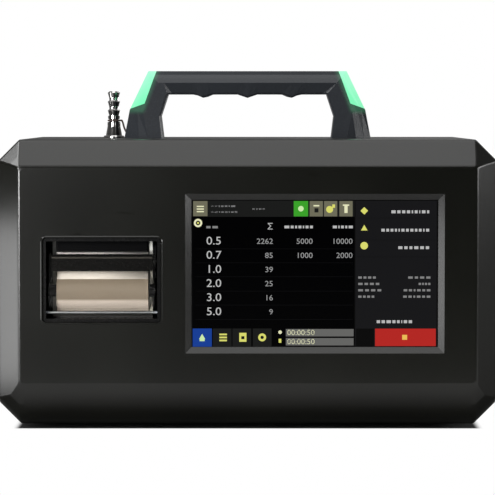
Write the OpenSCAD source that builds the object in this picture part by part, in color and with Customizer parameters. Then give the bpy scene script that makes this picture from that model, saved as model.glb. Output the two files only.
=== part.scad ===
// Portable airborne particle counter: bevelled case, carrying handle with
// status lights, touch screen, panel printer, optical sensor and pump.
// X runs across the front, Y from front to back, Z up. Millimetres.

/* [Case] */
// Width of the case
case_w = 313; // [290:1:400]
// Height of the case without its feet
case_h = 180; // [165:1:240]
// Depth of the case, with the lip round the printer
case_d = 211.2; // [200:0.2:280]
// Thickness of the moulded case walls
case_wall = 3; // [2:0.5:4]
// Depth of the front housing, from its face to the parting line
front_depth = 45; // [38:1:60]
// Width of the bevel along the top of the front face
top_bevel = 17; // [12:0.5:20]
// Width of the bevel down each side of the front face
side_bevel = 13.5; // [10:0.5:16]
// How far the bevels run back
bevel_depth = 14; // [12:0.5:18]
// Height of the rolled chin under the front face
chin_h = 28; // [20:1:30]
// How far the chin runs back
chin_depth = 26; // [18:1:34]
// Size of the 45 degree cuts at the four corners of the case
corner_cut = 13.4; // [10:0.2:20]
// Rounding of the outer edges
edge_r = 3.5; // [2:0.5:5]
// Thickness of the seal at the parting line
gasket_t = 1.2; // [0.8:0.2:2]
// Height of the rubber feet
foot_h = 3; // [2:0.5:6]
// Diameter of the rubber feet
foot_d = 18; // [12:1:24]

/* [Handle] */
// Width of the handle at its feet
handle_w = 162; // [150:1:190]
// Width of the handle across its top corners
handle_top_w = 130; // [120:1:150]
// Height of the handle above the case
handle_h = 44; // [40:1:60]
// Depth of the handle from front to back
handle_depth = 28; // [24:1:36]
// Thickness of the grip, top to underside
grip_t = 15.3; // [13:0.1:20]
// Height of the finger ridges under the grip
ridge_h = 2.2; // [1:0.1:3]
// Width of the light strips on the handle's outer corners, at their lower ends
light_w = 7.2; // [5:0.2:8]

/* [Inlet] */
// Diameter over the hose barbs of the inlet
barb_d = 8.2; // [7:0.1:10]
// Bore through the inlet
inlet_bore = 4.4; // [3:0.1:5]
// Height of the inlet above the case
inlet_h = 31; // [26:1:40]
// Diameter of the cap's tether
tether_d = 1.2; // [1:0.1:1.6]

/* [Screen] */
// Width of the visible glass
screen_w = 154; // [140:1:180]
// Height of the visible glass
screen_h = 92; // [80:1:100]
// Offset of the screen from the middle of the case
screen_x = 42; // [40:0.5:60]
// Height of the middle of the screen
screen_z = 99.5; // [90:0.5:120]
// Width of the sloped frame round the glass
screen_slope = 3.8; // [2:0.1:5]

/* [Printer] */
// Width of the pocket in the front face
pocket_w = 74; // [70:0.5:80]
// Height of the pocket in the front face
pocket_h = 53; // [52:0.5:58]
// Offset of the pocket from the middle of the case
pocket_x = -91; // [-100:0.5:-88]
// Height of the middle of the pocket
pocket_z = 95.5; // [90:0.5:110]
// Width of the raised lip round the pocket
lip_w = 1.1; // [0.8:0.1:2]
// How far the lip stands out of the front face
lip_out = 0.6; // [0.4:0.1:1]
// Width of the paper roll
paper_w = 57.5; // [50:0.5:58]
// Diameter of the paper roll
roll_d = 32; // [24:1:32]
// Diameter of the platen roller
platen_d = 8; // [7:0.5:8]
// Module of the printer's gears
gear_m = 0.6; // [0.5:0.05:0.6]

/* [Rear] */
// Thickness of the rear panel
panel_t = 2.5; // [2:0.5:3]
// How far the rear panel sits inside the case
panel_recess = 3.6; // [2:0.2:5]
// Size of the square cooling fan
fan_size = 60; // [50:1:60]
// Width of the battery pack
battery_w = 66; // [50:1:66]
// Height of the battery pack
battery_h = 46; // [36:1:48]
// Length of the battery pack
battery_len = 96; // [70:1:100]

/* [Fits] */
// Gap all round a shaft that turns in its bore
run_gap = 0.05; // [0.03:0.01:0.1]
// Gap between a moving cover and what it closes
cover_gap = 0.4; // [0.3:0.05:0.6]
// Gap between pieces that slide together
slip_gap = 0.3; // [0.2:0.05:0.4]

/* [Hidden] */
$fn = 48;

// Main planes
y_front = lip_out - case_d / 2;
y_rear = case_d / 2;
y_split = y_front + front_depth;
y_shell = y_split + gasket_t;
z_base = foot_h;
z_top = foot_h + case_h;
z_floor = z_base + case_wall;
y_inner_front = y_front + case_wall;
y_panel = y_rear - panel_recess;
y_panel_in = y_panel - panel_t;
eps = 0.01;
over = 1;

// Case form
bend_r = 4;
bevel_angle = atan(bevel_depth / top_bevel);
bend_run = bend_r * tan(bevel_angle / 2);
edge_run = edge_r * tan((90 - bevel_angle) / 2);
bevel_end = bevel_depth + edge_run;
chin_start = 25;
front_cut = 1.2;

// Width of the top bevel that is left at a depth t behind the front face
function bevel_left(t) =
    t < bend_r * (1 - cos(bevel_angle))
        ? top_bevel + bend_run - sqrt(pow(bend_r, 2) - pow(bend_r - t, 2))
    : t < bevel_depth - edge_run * sin(bevel_angle) ? top_bevel * (1 - t / bevel_depth)
    : t < bevel_end ? edge_r - sqrt(pow(edge_r, 2) - pow(bevel_end - t, 2))
    : 0;

// Height of the chin that is left at a depth t behind the front face
function chin_left(t) =
    let (c = cos(chin_start) * max(0, 1 - t / chin_depth), s = sqrt(1 - c * c))
    chin_h * (1 - (s - sin(chin_start)) / (1 - sin(chin_start)));

// Octagonal outline with rounded corners, in the plane y
function octagon(y, half_w, top, bottom, cut, r) =
    let (
        e = r * tan(22.5),
        centres = [
            [half_w - r, top - cut - e], [half_w - cut - e, top - r],
            [-half_w + cut + e, top - r], [-half_w + r, top - cut - e],
            [-half_w + r, bottom + cut + e], [-half_w + cut + e, bottom + r],
            [half_w - cut - e, bottom + r], [half_w - r, bottom + cut + e]
        ]
    )
    [for (i = [0 : 7], a = [0 : 22.5 : 45])
        [centres[i].x + r * cos(45 * i + a), y, centres[i].y + r * sin(45 * i + a)]];

// Outline of the case at a depth t behind a face that is set in by inset
function case_outline(y, t, inset) =
    let (
        left = bevel_left(t),
        cut = max(front_cut, corner_cut * (1 - left / top_bevel)) - 0.586 * inset,
        cut_in = max(front_cut / 2, cut)
    )
    octagon(y, case_w / 2 - side_bevel * left / top_bevel - inset, z_top - left - inset,
        z_base + chin_left(t) + inset, cut_in, min(2, cut_in / 0.6));

// Solid through a list of outlines that have the same number of points
module loft(rings) {
    n = len(rings[0]);
    m = len(rings);
    polyhedron(
        [for (ring = rings, p = ring) p],
        concat(
            [[for (i = [n - 1 : -1 : 0]) i]],
            [for (k = [0 : m - 2], i = [0 : n - 1])
                [k * n + i, k * n + (i + 1) % n, (k + 1) * n + (i + 1) % n, (k + 1) * n + i]],
            [[for (i = [0 : n - 1]) (m - 1) * n + i]]
        ),
        convexity = 6
    );
}

bend_steps = [for (k = [0 : 3]) bend_r * (1 - cos(bevel_angle * k / 3))];
edge_steps = [for (k = [3 : -1 : 0]) bevel_end - edge_r * sin((90 - bevel_angle) * k / 3)];
front_steps = concat(bend_steps, [bevel_depth * 0.4], edge_steps, [chin_depth - 6, chin_depth]);
cavity_steps = [0, bend_steps[3], bevel_depth * 0.4, bevel_end, chin_depth];

module front_form() loft(concat(
    [for (t = front_steps) case_outline(y_front + t, t, 0)],
    [case_outline(y_split, chin_depth, 0)]));

module front_cavity() loft(concat(
    [for (t = cavity_steps) case_outline(y_inner_front + t, t, case_wall)],
    [case_outline(y_split + over, chin_depth, case_wall)]));

// Straight length of case section between two planes, set in by inset
module case_band(y0, y1, inset)
    loft([case_outline(y0, chin_depth, inset), case_outline(y1, chin_depth, inset)]);

// Shared shapes
module along_y(y, length) translate([0, y + length, 0]) rotate([90, 0, 0]) linear_extrude(length) children();
module along_x(x, length) translate([x, 0, 0]) rotate([90, 0, 90]) linear_extrude(length) children();
module rod_x(x, length, r, y, z) translate([x, y, z]) rotate([0, 90, 0]) cylinder(h = length, r = r);
module rod_y(y, length, r, x, z) translate([x, y, z]) rotate([-90, 0, 0]) cylinder(h = length, r = r);
module box(x0, x1, y0, y1, z0, z1) translate([x0, y0, z0]) cube([x1 - x0, y1 - y0, z1 - z0]);

module rounded_rect(w, h, r) {
    square([w - 2 * r, h], center = true);
    square([w, h - 2 * r], center = true);
    for (sx = [-1, 1], sy = [-1, 1])
        translate([sx * (w / 2 - r), sy * (h / 2 - r)]) circle(r);
}

// Pan-head screw along +Y with its head's seat at the origin
module screw_y(thread_d, length) {
    rotate([-90, 0, 0]) cylinder(h = length, d = thread_d);
    rotate([90, 0, 0]) difference() {
        cylinder(h = thread_d * 0.6, d = thread_d * 1.9);
        translate([0, 0, thread_d * 0.25]) cylinder(h = thread_d, d = thread_d * 0.9, $fn = 6);
    }
}

// Fixing points
screw_d = 4;
boss_d = 10;
boss_len = 24;
z_mid = z_base + case_h / 2;
case_screw_x = case_w / 2 - 17;
case_screw_points = [for (x = [-case_screw_x, 0, case_screw_x], z = [z_base + 15, z_top - 17]) [x, z]];
lug_t = 6;

// Web that ties a boss to the nearer of the floor and the roof
module wall_web(p, y0, y1, w)
    box(p.x - w / 2, p.x + w / 2, y0, y1, p.y > z_mid ? p.y : z_base, p.y > z_mid ? z_top : p.y);

// Front housing
slope_w = screen_w + 2 * screen_slope;
slope_h = screen_h + 2 * screen_slope;
pocket_r = 2.5;
glass_t = 2;
module_t = 7;
glass_margin = 4;
bracket_t = 1.5;
bracket_y = y_inner_front + glass_t + module_t;
bracket_screw_x = screen_w / 2 + 8;
bracket_screw_z = screen_h / 2 + 1;
bracket_points = [for (sx = [-1, 1], sz = [-1, 1])
    [screen_x + sx * bracket_screw_x, screen_z + sz * bracket_screw_z]];

// Raised frame round the printer's pocket, bevelled along its outer edge
lip_bevel = 0.5;
module pocket_lip() hull() for (inset = [0, lip_bevel]) {
    y0 = y_front - lip_out + lip_bevel - inset;
    grow = 2 * (lip_w - inset);
    along_y(y0, y_front + eps - y0) translate([pocket_x, pocket_z])
        rounded_rect(pocket_w + grow, pocket_h + grow, pocket_r + lip_w - inset);
}

module screen_window() translate([screen_x, 0, screen_z]) hull() {
    along_y(y_front - eps, eps) square([slope_w, slope_h], center = true);
    along_y(y_inner_front + eps, eps) square([screen_w, screen_h], center = true);
}

module front_housing() color("#24272a") difference() {
    union() {
        difference() {
            front_form();
            front_cavity();
        }
        intersection() {
            front_form();
            for (p = case_screw_points) {
                rod_y(y_split - boss_len, boss_len, boss_d / 2, p.x, p.y);
                wall_web(p, y_split - boss_len, y_split, 3);
            }
        }
        for (p = bracket_points) rod_y(y_inner_front, bracket_y - y_inner_front, 3, p.x, p.y);
        pocket_lip();
    }
    screen_window();
    along_y(y_front - lip_out - over, case_wall + lip_out + 2 * over)
        translate([pocket_x, pocket_z]) rounded_rect(pocket_w, pocket_h, pocket_r);
    for (p = case_screw_points) rod_y(y_split - 16, 16 + over, screw_d / 2, p.x, p.y);
    for (p = bracket_points) rod_y(bracket_y - 6, 6 + over, 1.25, p.x, p.y);
}

// Case shell
ledge_t = 3;
ledge_w = 5;
panel_gap = slip_gap;
rim_r = case_wall * 0.7;
rear_steps = [for (k = [0 : 3]) [y_rear - rim_r * (1 - sin(30 * k)), rim_r * (1 - cos(30 * k))]];
post_h = 6;
chassis_z = z_floor + post_h;
chassis_t = 2;
chassis_x = case_w / 2 - case_wall - 16;
chassis_y0 = y_shell + 12;
chassis_y1 = y_panel_in - 8;
post_points = [
    [-chassis_x + 8, chassis_y0 + 10], [chassis_x - 8, chassis_y0 + 10],
    [-chassis_x + 8, chassis_y1 - 10], [chassis_x / 2 - 12, chassis_y1 - 10]
];
panel_screw_inset = case_wall + ledge_w / 2 + slip_gap;
panel_screw_x = case_w / 2 - panel_screw_inset;
panel_screw_points = [
    for (sx = [-1, 1]) each [
        [sx * panel_screw_x, z_mid + 50], [sx * panel_screw_x, z_mid - 30],
        [sx * case_w / 4, z_top - panel_screw_inset], [sx * case_w / 4, z_base + panel_screw_inset]
    ]
];
inlet_x = -89;
inlet_y = 22;
thread_r = 5;
foot_x = case_w / 2 - 32;
foot_points = [for (sx = [-1, 1], y = [y_shell + 16, y_rear - 22]) [sx * foot_x, y]];
handle_screw_points = [for (sx = [-1, 1], y = [-7, 7]) [sx * (handle_w / 2 - 12), y]];

module shell_outer() loft(concat(
    [case_outline(y_shell, chin_depth, 0)],
    [for (s = rear_steps) case_outline(s.x, chin_depth, s.y)]));

module case_shell() color("#1d2023") difference() {
    union() {
        difference() {
            shell_outer();
            case_band(y_shell - over, y_panel_in - ledge_t, case_wall);
            case_band(y_panel_in - ledge_t - over, y_panel_in + over, case_wall + ledge_w);
            case_band(y_panel_in, y_rear + over, case_wall);
        }
        intersection() {
            case_band(y_shell, y_shell + lug_t, 0.5);
            for (p = case_screw_points) {
                rod_y(y_shell, lug_t, boss_d / 2, p.x, p.y);
                wall_web(p, y_shell, y_shell + lug_t, boss_d);
            }
        }
        for (p = post_points) translate([p.x, p.y, z_floor - eps]) cylinder(h = post_h + eps, d = boss_d);
    }
    for (p = case_screw_points) rod_y(y_shell - over, lug_t + 2 * over, screw_d / 2 + slip_gap, p.x, p.y);
    for (p = post_points) translate([p.x, p.y, z_floor]) cylinder(h = post_h + over, d = 3);
    for (p = foot_points) translate([p.x, p.y, z_base - over]) cylinder(h = case_wall + 2 * over, d = 5);
    for (p = panel_screw_points) rod_y(y_panel_in - ledge_t - over, ledge_t + 2 * over, 1.5, p.x, p.y);
    for (p = handle_screw_points) translate([p.x, p.y, z_top - case_wall - over])
        cylinder(h = case_wall + 2 * over, r = screw_d / 2 + slip_gap);
    translate([inlet_x, inlet_y, z_top - case_wall - over])
        cylinder(h = case_wall + 2 * over, r = thread_r + run_gap);
}

module split_gasket() color("#2b2d2f") difference() {
    case_band(y_split, y_shell, 0.6);
    case_band(y_split - over, y_shell + over, case_wall);
}

module base_feet() color("#141414") for (p = foot_points) translate([p.x, p.y, 0]) {
    cylinder(h = foot_h, d1 = foot_d - 2, d2 = foot_d);
    cylinder(h = foot_h + case_wall, d = 5 - 2 * run_gap);
}

module case_screws() color("silver") {
    for (p = post_points)
        translate([p.x, p.y, chassis_top]) rotate([-90, 0, 0]) screw_y(3 - 2 * run_gap, chassis_t + 5);
    for (p = case_screw_points) translate([p.x, y_shell + lug_t, p.y]) mirror([0, 1, 0])
        screw_y(screw_d - 2 * run_gap, lug_t + gasket_t + 12);
    for (p = panel_screw_points)
        translate([p.x, y_panel, p.y]) mirror([0, 1, 0]) screw_y(3 - 2 * run_gap, panel_t + ledge_t);
}

// Handle
half_depth = handle_depth / 2;
bend_h = 18.5;
light_taper = 0.7;
foot_leg = 26;
bend_leg = 20.7;
corner_leg = 13;
grip_z = z_top + handle_h;
under_z = grip_z - grip_t;
ridge_pitch = 28.5;
ridge_w = 13;

// Height of the finger ridges at x, as three rounded waves
function ridge(x) = let (d = abs(x - ridge_pitch * round(x / ridge_pitch)))
    abs(x) < ridge_pitch * 1.5 && d < ridge_w / 2 ? ridge_h * (1 + cos(360 * d / ridge_w)) / 2 : 0;

bend_w = handle_w - 7.2;
grip_half = handle_top_w / 2 - corner_leg;
grip_steps = [for (k = [15 : -1 : -15]) grip_half * k / 16];
// Each station is its outer point, its inner point, its bevel profile, and how far the lower edge of
// the grip's front leans back there. A profile's points are distance in from the outer edge and depth lost.
foot_bevel = [[0, 11], [4.5, 6.6], [9.8, 2.9], [16, 0]];
bend_bevel = [[0, 9], [2.6, 5.4], [5.4, 2.4], [8.9, 0]];
grip_bevel = [[0, 8], [2.4, 4.6], [4.8, 2.2], [7.7, 0]];
grip_lean = 2.2;
inner_bevel = 1.2;
handle_bite = 10;
leg_stations = [
    [[handle_w / 2, z_top], [handle_w / 2 - foot_leg, z_top], foot_bevel, 0],
    [[bend_w / 2, z_top + bend_h], [bend_w / 2 - bend_leg, z_top + bend_h - 4], bend_bevel, 0],
    [[handle_top_w / 2, grip_z], [grip_half, under_z], grip_bevel, 0]
];
grip_stations = [for (x = grip_steps)
    [[x * handle_top_w / 2 / grip_half, grip_z], [x, under_z - ridge(x)], grip_bevel, grip_lean]];
function mirrored(s) = [[-s[0].x, s[0].y], [-s[1].x, s[1].y], s[2], s[3]];
handle_stations = concat(leg_stations, grip_stations, [for (i = [2 : -1 : 0]) mirrored(leg_stations[i])]);

// Point of a station at a distance in, which is measured across a leg or down the grip
function station_reach(s) = let (drop = s[0].y - s[1].y) drop < grip_t - eps ? abs(s[0].x - s[1].x) : drop;
function station_point(s, in, depth) =
    let (p = s[0] + (s[1] - s[0]) * in / station_reach(s)) [p.x, depth - half_depth, p.y];
function handle_ring(s) =
    let (
        reach = station_reach(s),
        front = concat(
            [for (q = s[2]) station_point(s, q.x, q.y)],
            [station_point(s, reach - inner_bevel, s[3]), station_point(s, reach, s[3] + inner_bevel)])
    )
    concat(front, [for (i = [len(front) - 1 : -1 : 0]) [front[i].x, -front[i].y, front[i].z]]);

module handle_form() loft([for (s = handle_stations) handle_ring(s)]);

// Zone of the light strip: the outer corner of one leg, above its bend
module light_zone(side) {
    low = leg_stations[1][0];
    high = leg_stations[2][0];
    run = (high - low) / norm(high - low);
    inward = [-run.y, run.x];
    start = low + run;
    end_inner = start + run * light_w + inward * light_w;
    top_inner = high + inward * light_w * light_taper;
    along_y(-half_depth - over, handle_depth + 2 * over)
        mirror([side < 0 ? 1 : 0, 0])
        polygon([
            start - inward * light_w, start, end_inner, 2 * top_inner - end_inner,
            high - inward * light_w + run * light_w
        ]);
}

module handle_frame() color("#3c3f44") difference() {
    handle_form();
    light_zone(1);
    light_zone(-1);
    for (p = handle_screw_points)
        translate([p.x, p.y, z_top - over]) cylinder(h = over + handle_bite + 2, r = screw_d / 2);
}

module status_light(side) color("#7dffb0") intersection() {
    handle_form();
    light_zone(side);
}
module status_light_left() status_light(-1);
module status_light_right() status_light(1);

module handle_screws() color("silver") for (p = handle_screw_points)
    translate([p.x, p.y, z_top - case_wall]) rotate([90, 0, 0])
        screw_y(screw_d - 2 * run_gap, case_wall + handle_bite);

// Inlet, its cap and tether
flange_r = 6.8;
flange_t = 1.6;
groove_z = 11.6;
groove_r = 3;
ring_r = tether_d / 2;
barb_heights = [0.62, 0.81, 1];

module inlet_nozzle() color("#d8d8d4") translate([inlet_x, inlet_y, z_top]) rotate_extrude() difference() {
    union() {
        polygon(concat(
            [[0, -16], [thread_r, -16], [thread_r, 0], [flange_r, 0], [flange_r, flange_t - 0.5],
             [flange_r - 0.5, flange_t], [5.4, flange_t], [4.3, 7.6], [4.3, groove_z - 1.2],
             [groove_r, groove_z - 0.7], [groove_r, groove_z + 0.7], [3.9, groove_z + 1.2], [3.9, groove_z + 3]],
            [for (k = [0 : 2]) each [
                [barb_d / 2 - 0.9, inlet_h * barb_heights[k] - 4.4],
                [barb_d / 2 - 0.9, inlet_h * barb_heights[k] - 4.2],
                [barb_d / 2, inlet_h * barb_heights[k] - 1.0],
                [barb_d / 2 - 1.1, inlet_h * barb_heights[k]]
            ]],
            [[0, inlet_h]]));
    }
    translate([-over, -16 - over]) square([inlet_bore / 2 + over, inlet_h + 16 + 2 * over]);
}

module inlet_nut() color("#b8b8b0") translate([inlet_x, inlet_y, z_top - case_wall - 5]) difference() {
    cylinder(h = 5, r = 8.5, $fn = 6);
    translate([0, 0, -over]) cylinder(h = 5 + 2 * over, r = thread_r + run_gap);
}

ring_centre_r = groove_r + run_gap + ring_r;
ring_stub = 1.1;
tether_start = inlet_x + ring_centre_r + ring_stub;
module tether_ring() color("#3a2a26") translate([inlet_x, inlet_y, z_top + groove_z]) {
    rotate_extrude() translate([ring_centre_r, 0]) circle(ring_r, $fn = 24);
    rod_x(ring_centre_r, ring_stub, ring_r, 0, 0);
}

// Route of the tether's centre line, from the ring down to the case top and back to the cap
lie_z = z_top + tether_d / 2 + 0.1;
cap_y = 84;
cap_x = -70;
// The drop's points are from where the nozzle's axis meets the case top
tether_drop = [
    [tether_start - inlet_x, 0, groove_z], [tether_start - inlet_x + 0.3, 0, groove_z],
    [tether_start - inlet_x + 0.6, 0, groove_z - 0.1], [6, 0.1, 9.8], [6.6, 0.3, 7.6],
    [7.4, 0.7, 5.4], [8.6, 1.1, 3.3], [10.3, 1.7, 1.5]
];
tether_lay = [
    [-74.5, 25.2], [-71, 27.5], [-67.8, 30.5], [-65.4, 34.2], [-64.2, 38.5], [-64.4, 43], [-66, 47.2],
    [-68.8, 51], [-71.6, 54.6], [-73.6, 58.6], [-74.2, 63], [-73.4, 67.4], [-71.8, 71.4], [-70.4, 75.4],
    [cap_x, cap_y - 5.4], [cap_x, cap_y - 3]
];
tether_route = concat(
    [for (p = tether_drop) p + [inlet_x, inlet_y, z_top]],
    [for (p = tether_lay) [p.x, p.y, lie_z]]);

// Smooth curve through the route's points, with steps points from each to the next
function spline_point(a, b, c, d, t) =
    0.5 * (2 * b + (c - a) * t + (2 * a - 5 * b + 4 * c - d) * t * t + (3 * b - a - 3 * c + d) * t * t * t);
function smooth_route(p, steps) = let (n = len(p)) concat(
    [for (i = [0 : n - 2], k = [0 : steps - 1])
        spline_point(p[max(0, i - 1)], p[i], p[i + 1], p[min(n - 1, i + 2)], k / steps)],
    [p[n - 1]]);
function unit(v) = v / norm(v);
// Ring of a swept tube; across is any direction that the tube never runs along
function tube_ring(p, dir, r, sides, across) =
    let (side = unit(cross(dir, across)), up = cross(side, dir))
    [for (k = [0 : sides - 1]) p + r * (cos(360 * k / sides) * side + sin(360 * k / sides) * up)];
module tube(route, r, sides, across) {
    n = len(route);
    loft([for (i = [0 : n - 1])
        tube_ring(route[i], unit(route[min(n - 1, i + 1)] - route[max(0, i - 1)]), r, sides, across)]);
}

module cap_tether() color("#2a2423") tube(smooth_route(tether_route, 3), tether_d / 2, 8, [0, 0, 1]);

cap_r = barb_d / 2 + 1;
cap_len = 13;
module inlet_cap() color("#b01f24") translate([cap_x, cap_y, z_top + cap_r + 0.1]) rotate([-90, 0, 0]) {
    difference() {
        union() {
            cylinder(h = cap_len, r = cap_r - 0.5);
            translate([0, 0, cap_len - 2.5]) cylinder(h = 2.5, r = cap_r);
            cylinder(h = 1.5, r = cap_r);
        }
        translate([0, 0, 3]) cylinder(h = cap_len, r = cap_r - 1.5);
    }
    translate([0, cap_r + 0.1 - (lie_z - z_top), -3]) cylinder(h = 3 + eps, r = tether_d / 2 - 0.05);
}

// Optical sensor and air path
sensor_w = 44;
sensor_d = 40;
sensor_h = 46;
sensor_z = 62;
chassis_top = chassis_z + chassis_t;
tube_r = 4.5;
hose_r = 4;
module hose(route, across) tube(smooth_route(route, 3), hose_r, 12, across);

module inlet_tube() color("#c9c9c2") {
    z0 = sensor_z + sensor_h;
    z1 = z_top - 16;
    translate([inlet_x, inlet_y, z0]) difference() {
        union() {
            cylinder(h = z1 - z0, r = tube_r);
            translate([0, 0, z1 - z0 - 6]) cylinder(h = 10, r = tube_r + 2.5);
            cylinder(h = 4, r = tube_r + 2.5);
        }
        translate([0, 0, -over]) cylinder(h = z1 - z0 + over, r = inlet_bore / 2);
        translate([0, 0, z1 - z0]) cylinder(h = 6, r = thread_r + run_gap);
    }
}

module sensor_block() color("#9aa0a6") difference() {
    union() {
        translate([inlet_x, inlet_y, sensor_z + sensor_h / 2])
            cube([sensor_w, sensor_d, sensor_h], center = true);
        translate([inlet_x, inlet_y, sensor_z - 8]) cylinder(h = 8, r = tube_r);
    }
    translate([inlet_x, inlet_y, sensor_z - 8 - over])
        cylinder(h = sensor_h + 8 + 2 * over, r = inlet_bore / 2);
    rod_x(inlet_x - sensor_w / 2 - over, sensor_w + 2 * over, 4, inlet_y, sensor_z + sensor_h / 2);
    rod_y(inlet_y, sensor_d / 2 + over, 9, inlet_x, sensor_z + sensor_h / 2);
    for (sx = [-1, 1], sy = [-1, 1]) translate([inlet_x + sx * 17, inlet_y + sy * 15, sensor_z - over])
        cylinder(h = 10, d = 3);
}

module sensor_posts() color("#c8b070") for (sx = [-1, 1], sy = [-1, 1])
    translate([inlet_x + sx * 17, inlet_y + sy * 15, chassis_top])
        cylinder(h = sensor_z - chassis_top, d = 7, $fn = 6);

module laser_housing() color("#303438") {
    x0 = inlet_x - sensor_w / 2;
    z = sensor_z + sensor_h / 2;
    difference() {
        union() {
            rod_x(x0 - 4, 4, 11, inlet_y, z);
            rod_x(x0 - 30, 26, 8, inlet_y, z);
            for (k = [0 : 3]) rod_x(x0 - 28 + 5 * k, 2, 10, inlet_y, z);
        }
        rod_x(x0 - 8, 8 + over, 4, inlet_y, z);
    }
}

module light_trap() color("#202224") {
    x1 = inlet_x + sensor_w / 2;
    difference() {
        rod_x(x1, 12, 8, inlet_y, sensor_z + sensor_h / 2);
        translate([x1 - over, inlet_y, sensor_z + sensor_h / 2]) rotate([0, 90, 0])
            cylinder(h = 10, r1 = 5, r2 = 1);
    }
}

module detector_board() color("#2f6b43") {
    y1 = inlet_y + sensor_d / 2;
    box(inlet_x - 21, inlet_x + 21, y1, y1 + 1.6, sensor_z + 3, sensor_z + sensor_h - 3);
    box(inlet_x - 10, inlet_x + 10, y1 + 1.6, y1 + 7, sensor_z + 12, sensor_z + sensor_h - 12);
    box(inlet_x - 18, inlet_x - 12, y1 + 1.6, y1 + 6, sensor_z + 8, sensor_z + 24);
}

pump_x = -22;
pump_y = 44;
pump_r = 30;
pump_h = 30;
port_z = chassis_top + pump_h / 2;
filter_x = 44;
filter_r = 17;
filter_z = chassis_top + filter_r + 5;
filter_y0 = 22;
filter_y1 = 82;

module pump_body() color("#2c2f33") difference() {
    union() {
        translate([pump_x, pump_y, chassis_top]) cylinder(h = pump_h, r = pump_r);
        translate([pump_x, pump_y, chassis_top + pump_h]) cylinder(h = 4, r = pump_r - 5);
        for (a = [45 : 90 : 315]) translate([pump_x, pump_y, chassis_top]) rotate([0, 0, a]) difference() {
            union() {
                translate([0, -5, 0]) cube([pump_r + 5, 10, 4]);
                translate([pump_r + 5, 0, 0]) cylinder(h = 4, r = 5);
            }
            translate([pump_r + 5, 0, -over]) cylinder(h = 6, r = 2);
        }
        rod_x(pump_x - pump_r - 10, 22, 4, inlet_y, port_z);
        rod_y(pump_y - pump_r - 10, 16, 4, pump_x + 12, port_z);
    }
    rod_x(pump_x - pump_r - 10 - over, 22, 2.2, inlet_y, port_z);
    rod_y(pump_y - pump_r - 10 - over, 16, 2.2, pump_x + 12, port_z);
}

module pump_motor() color("#7b8087") translate([pump_x, pump_y, chassis_top + pump_h + 4]) {
    cylinder(h = 34, r = 18);
    translate([0, 0, 34]) cylinder(h = 3, r = 7);
    for (k = [0 : 2]) translate([0, 0, 8 + 8 * k]) cylinder(h = 2, r = 19);
}

module vacuum_hose() color("#d9d6cc") hose([
    [inlet_x, inlet_y, sensor_z - 8], [inlet_x, inlet_y, sensor_z - 10.5], [inlet_x, inlet_y, sensor_z - 13],
    [inlet_x + 2, inlet_y, sensor_z - 19],
    [inlet_x + 8, inlet_y, port_z + 4], [inlet_x + 15, inlet_y, port_z + 0.5],
    [pump_x - pump_r - 15, inlet_y, port_z], [pump_x - pump_r - 12.5, inlet_y, port_z],
    [pump_x - pump_r - 10, inlet_y, port_z]], [0, 1, 0]);

module exhaust_hose() color("#d9d6cc") hose([
    [pump_x + 12, pump_y - pump_r - 10, port_z], [pump_x + 12, pump_y - pump_r - 12.5, port_z],
    [pump_x + 12, pump_y - pump_r - 15, port_z],
    [pump_x + 17, pump_y - pump_r - 23, port_z], [pump_x + 30, pump_y - pump_r - 27, port_z + 2],
    [filter_x - 12, filter_y0 - 32, filter_z - 1], [filter_x - 3, filter_y0 - 24, filter_z],
    [filter_x, filter_y0 - 14, filter_z], [filter_x, filter_y0 - 11, filter_z],
    [filter_x, filter_y0 - 8, filter_z]], [0, 0, 1]);

module exhaust_filter() color("#e6e6e2") translate([filter_x, 0, filter_z]) {
    rod_y(filter_y0, filter_y1 - filter_y0, filter_r - 2, 0, 0);
    for (y = [filter_y0 + 4, filter_y1 - 10]) rod_y(y, 6, filter_r, 0, 0);
    rod_y(filter_y0 - 8, 9, 4, 0, 0);
    rod_y(filter_y1 - 1, 5, 4, 0, 0);
    for (y = [filter_y0 + 6, filter_y1 - 8])
        box(-6, 6, y - 1, y + 1, chassis_top - filter_z, -filter_r + 3);
}

module exhaust_fitting() color("#c8c8c4") translate([filter_x, 0, filter_z]) difference() {
    union() {
        rod_y(filter_y1 + 4, y_panel - filter_y1 - 4, 5, 0, 0);
        rod_y(y_panel, 1.2, 8, 0, 0);
        rod_y(y_panel + 1.2, 1.4, 4, 0, 0);
    }
    rod_y(filter_y1 + 3, y_panel - filter_y1 + 6, 2.5, 0, 0);
}

// Chassis
module chassis_plate() color("#b4b8bc") difference() {
    union() {
        box(-chassis_x, chassis_x, chassis_y0, chassis_y1, chassis_z, chassis_top);
        box(-chassis_x, chassis_x, chassis_y0, chassis_y0 + chassis_t, chassis_z, chassis_z + 16);
    }
    for (p = post_points) translate([p.x, p.y, chassis_z - over]) cylinder(h = 4, d = 3.4);
    for (x = [-60 : 30 : 60]) translate([x, chassis_y0 + 16, chassis_z - over]) cylinder(h = 4, d = 12);
}

// Display
module touch_panel() color("#0b0d10")
    box(screen_x - screen_w / 2 - glass_margin, screen_x + screen_w / 2 + glass_margin, y_inner_front,
        y_inner_front + glass_t, screen_z - screen_h / 2 - glass_margin, screen_z + screen_h / 2 + glass_margin);

module display_module() color("#8b9096") difference() {
    translate([screen_x, y_inner_front + glass_t + module_t / 2, screen_z])
        cube([screen_w + 6, module_t, screen_h + 6], center = true);
    box(screen_x - screen_w / 2, screen_x + screen_w / 2, bracket_y - 1.5, bracket_y + over,
        screen_z - screen_h / 2, screen_z + screen_h / 2);
}

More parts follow.
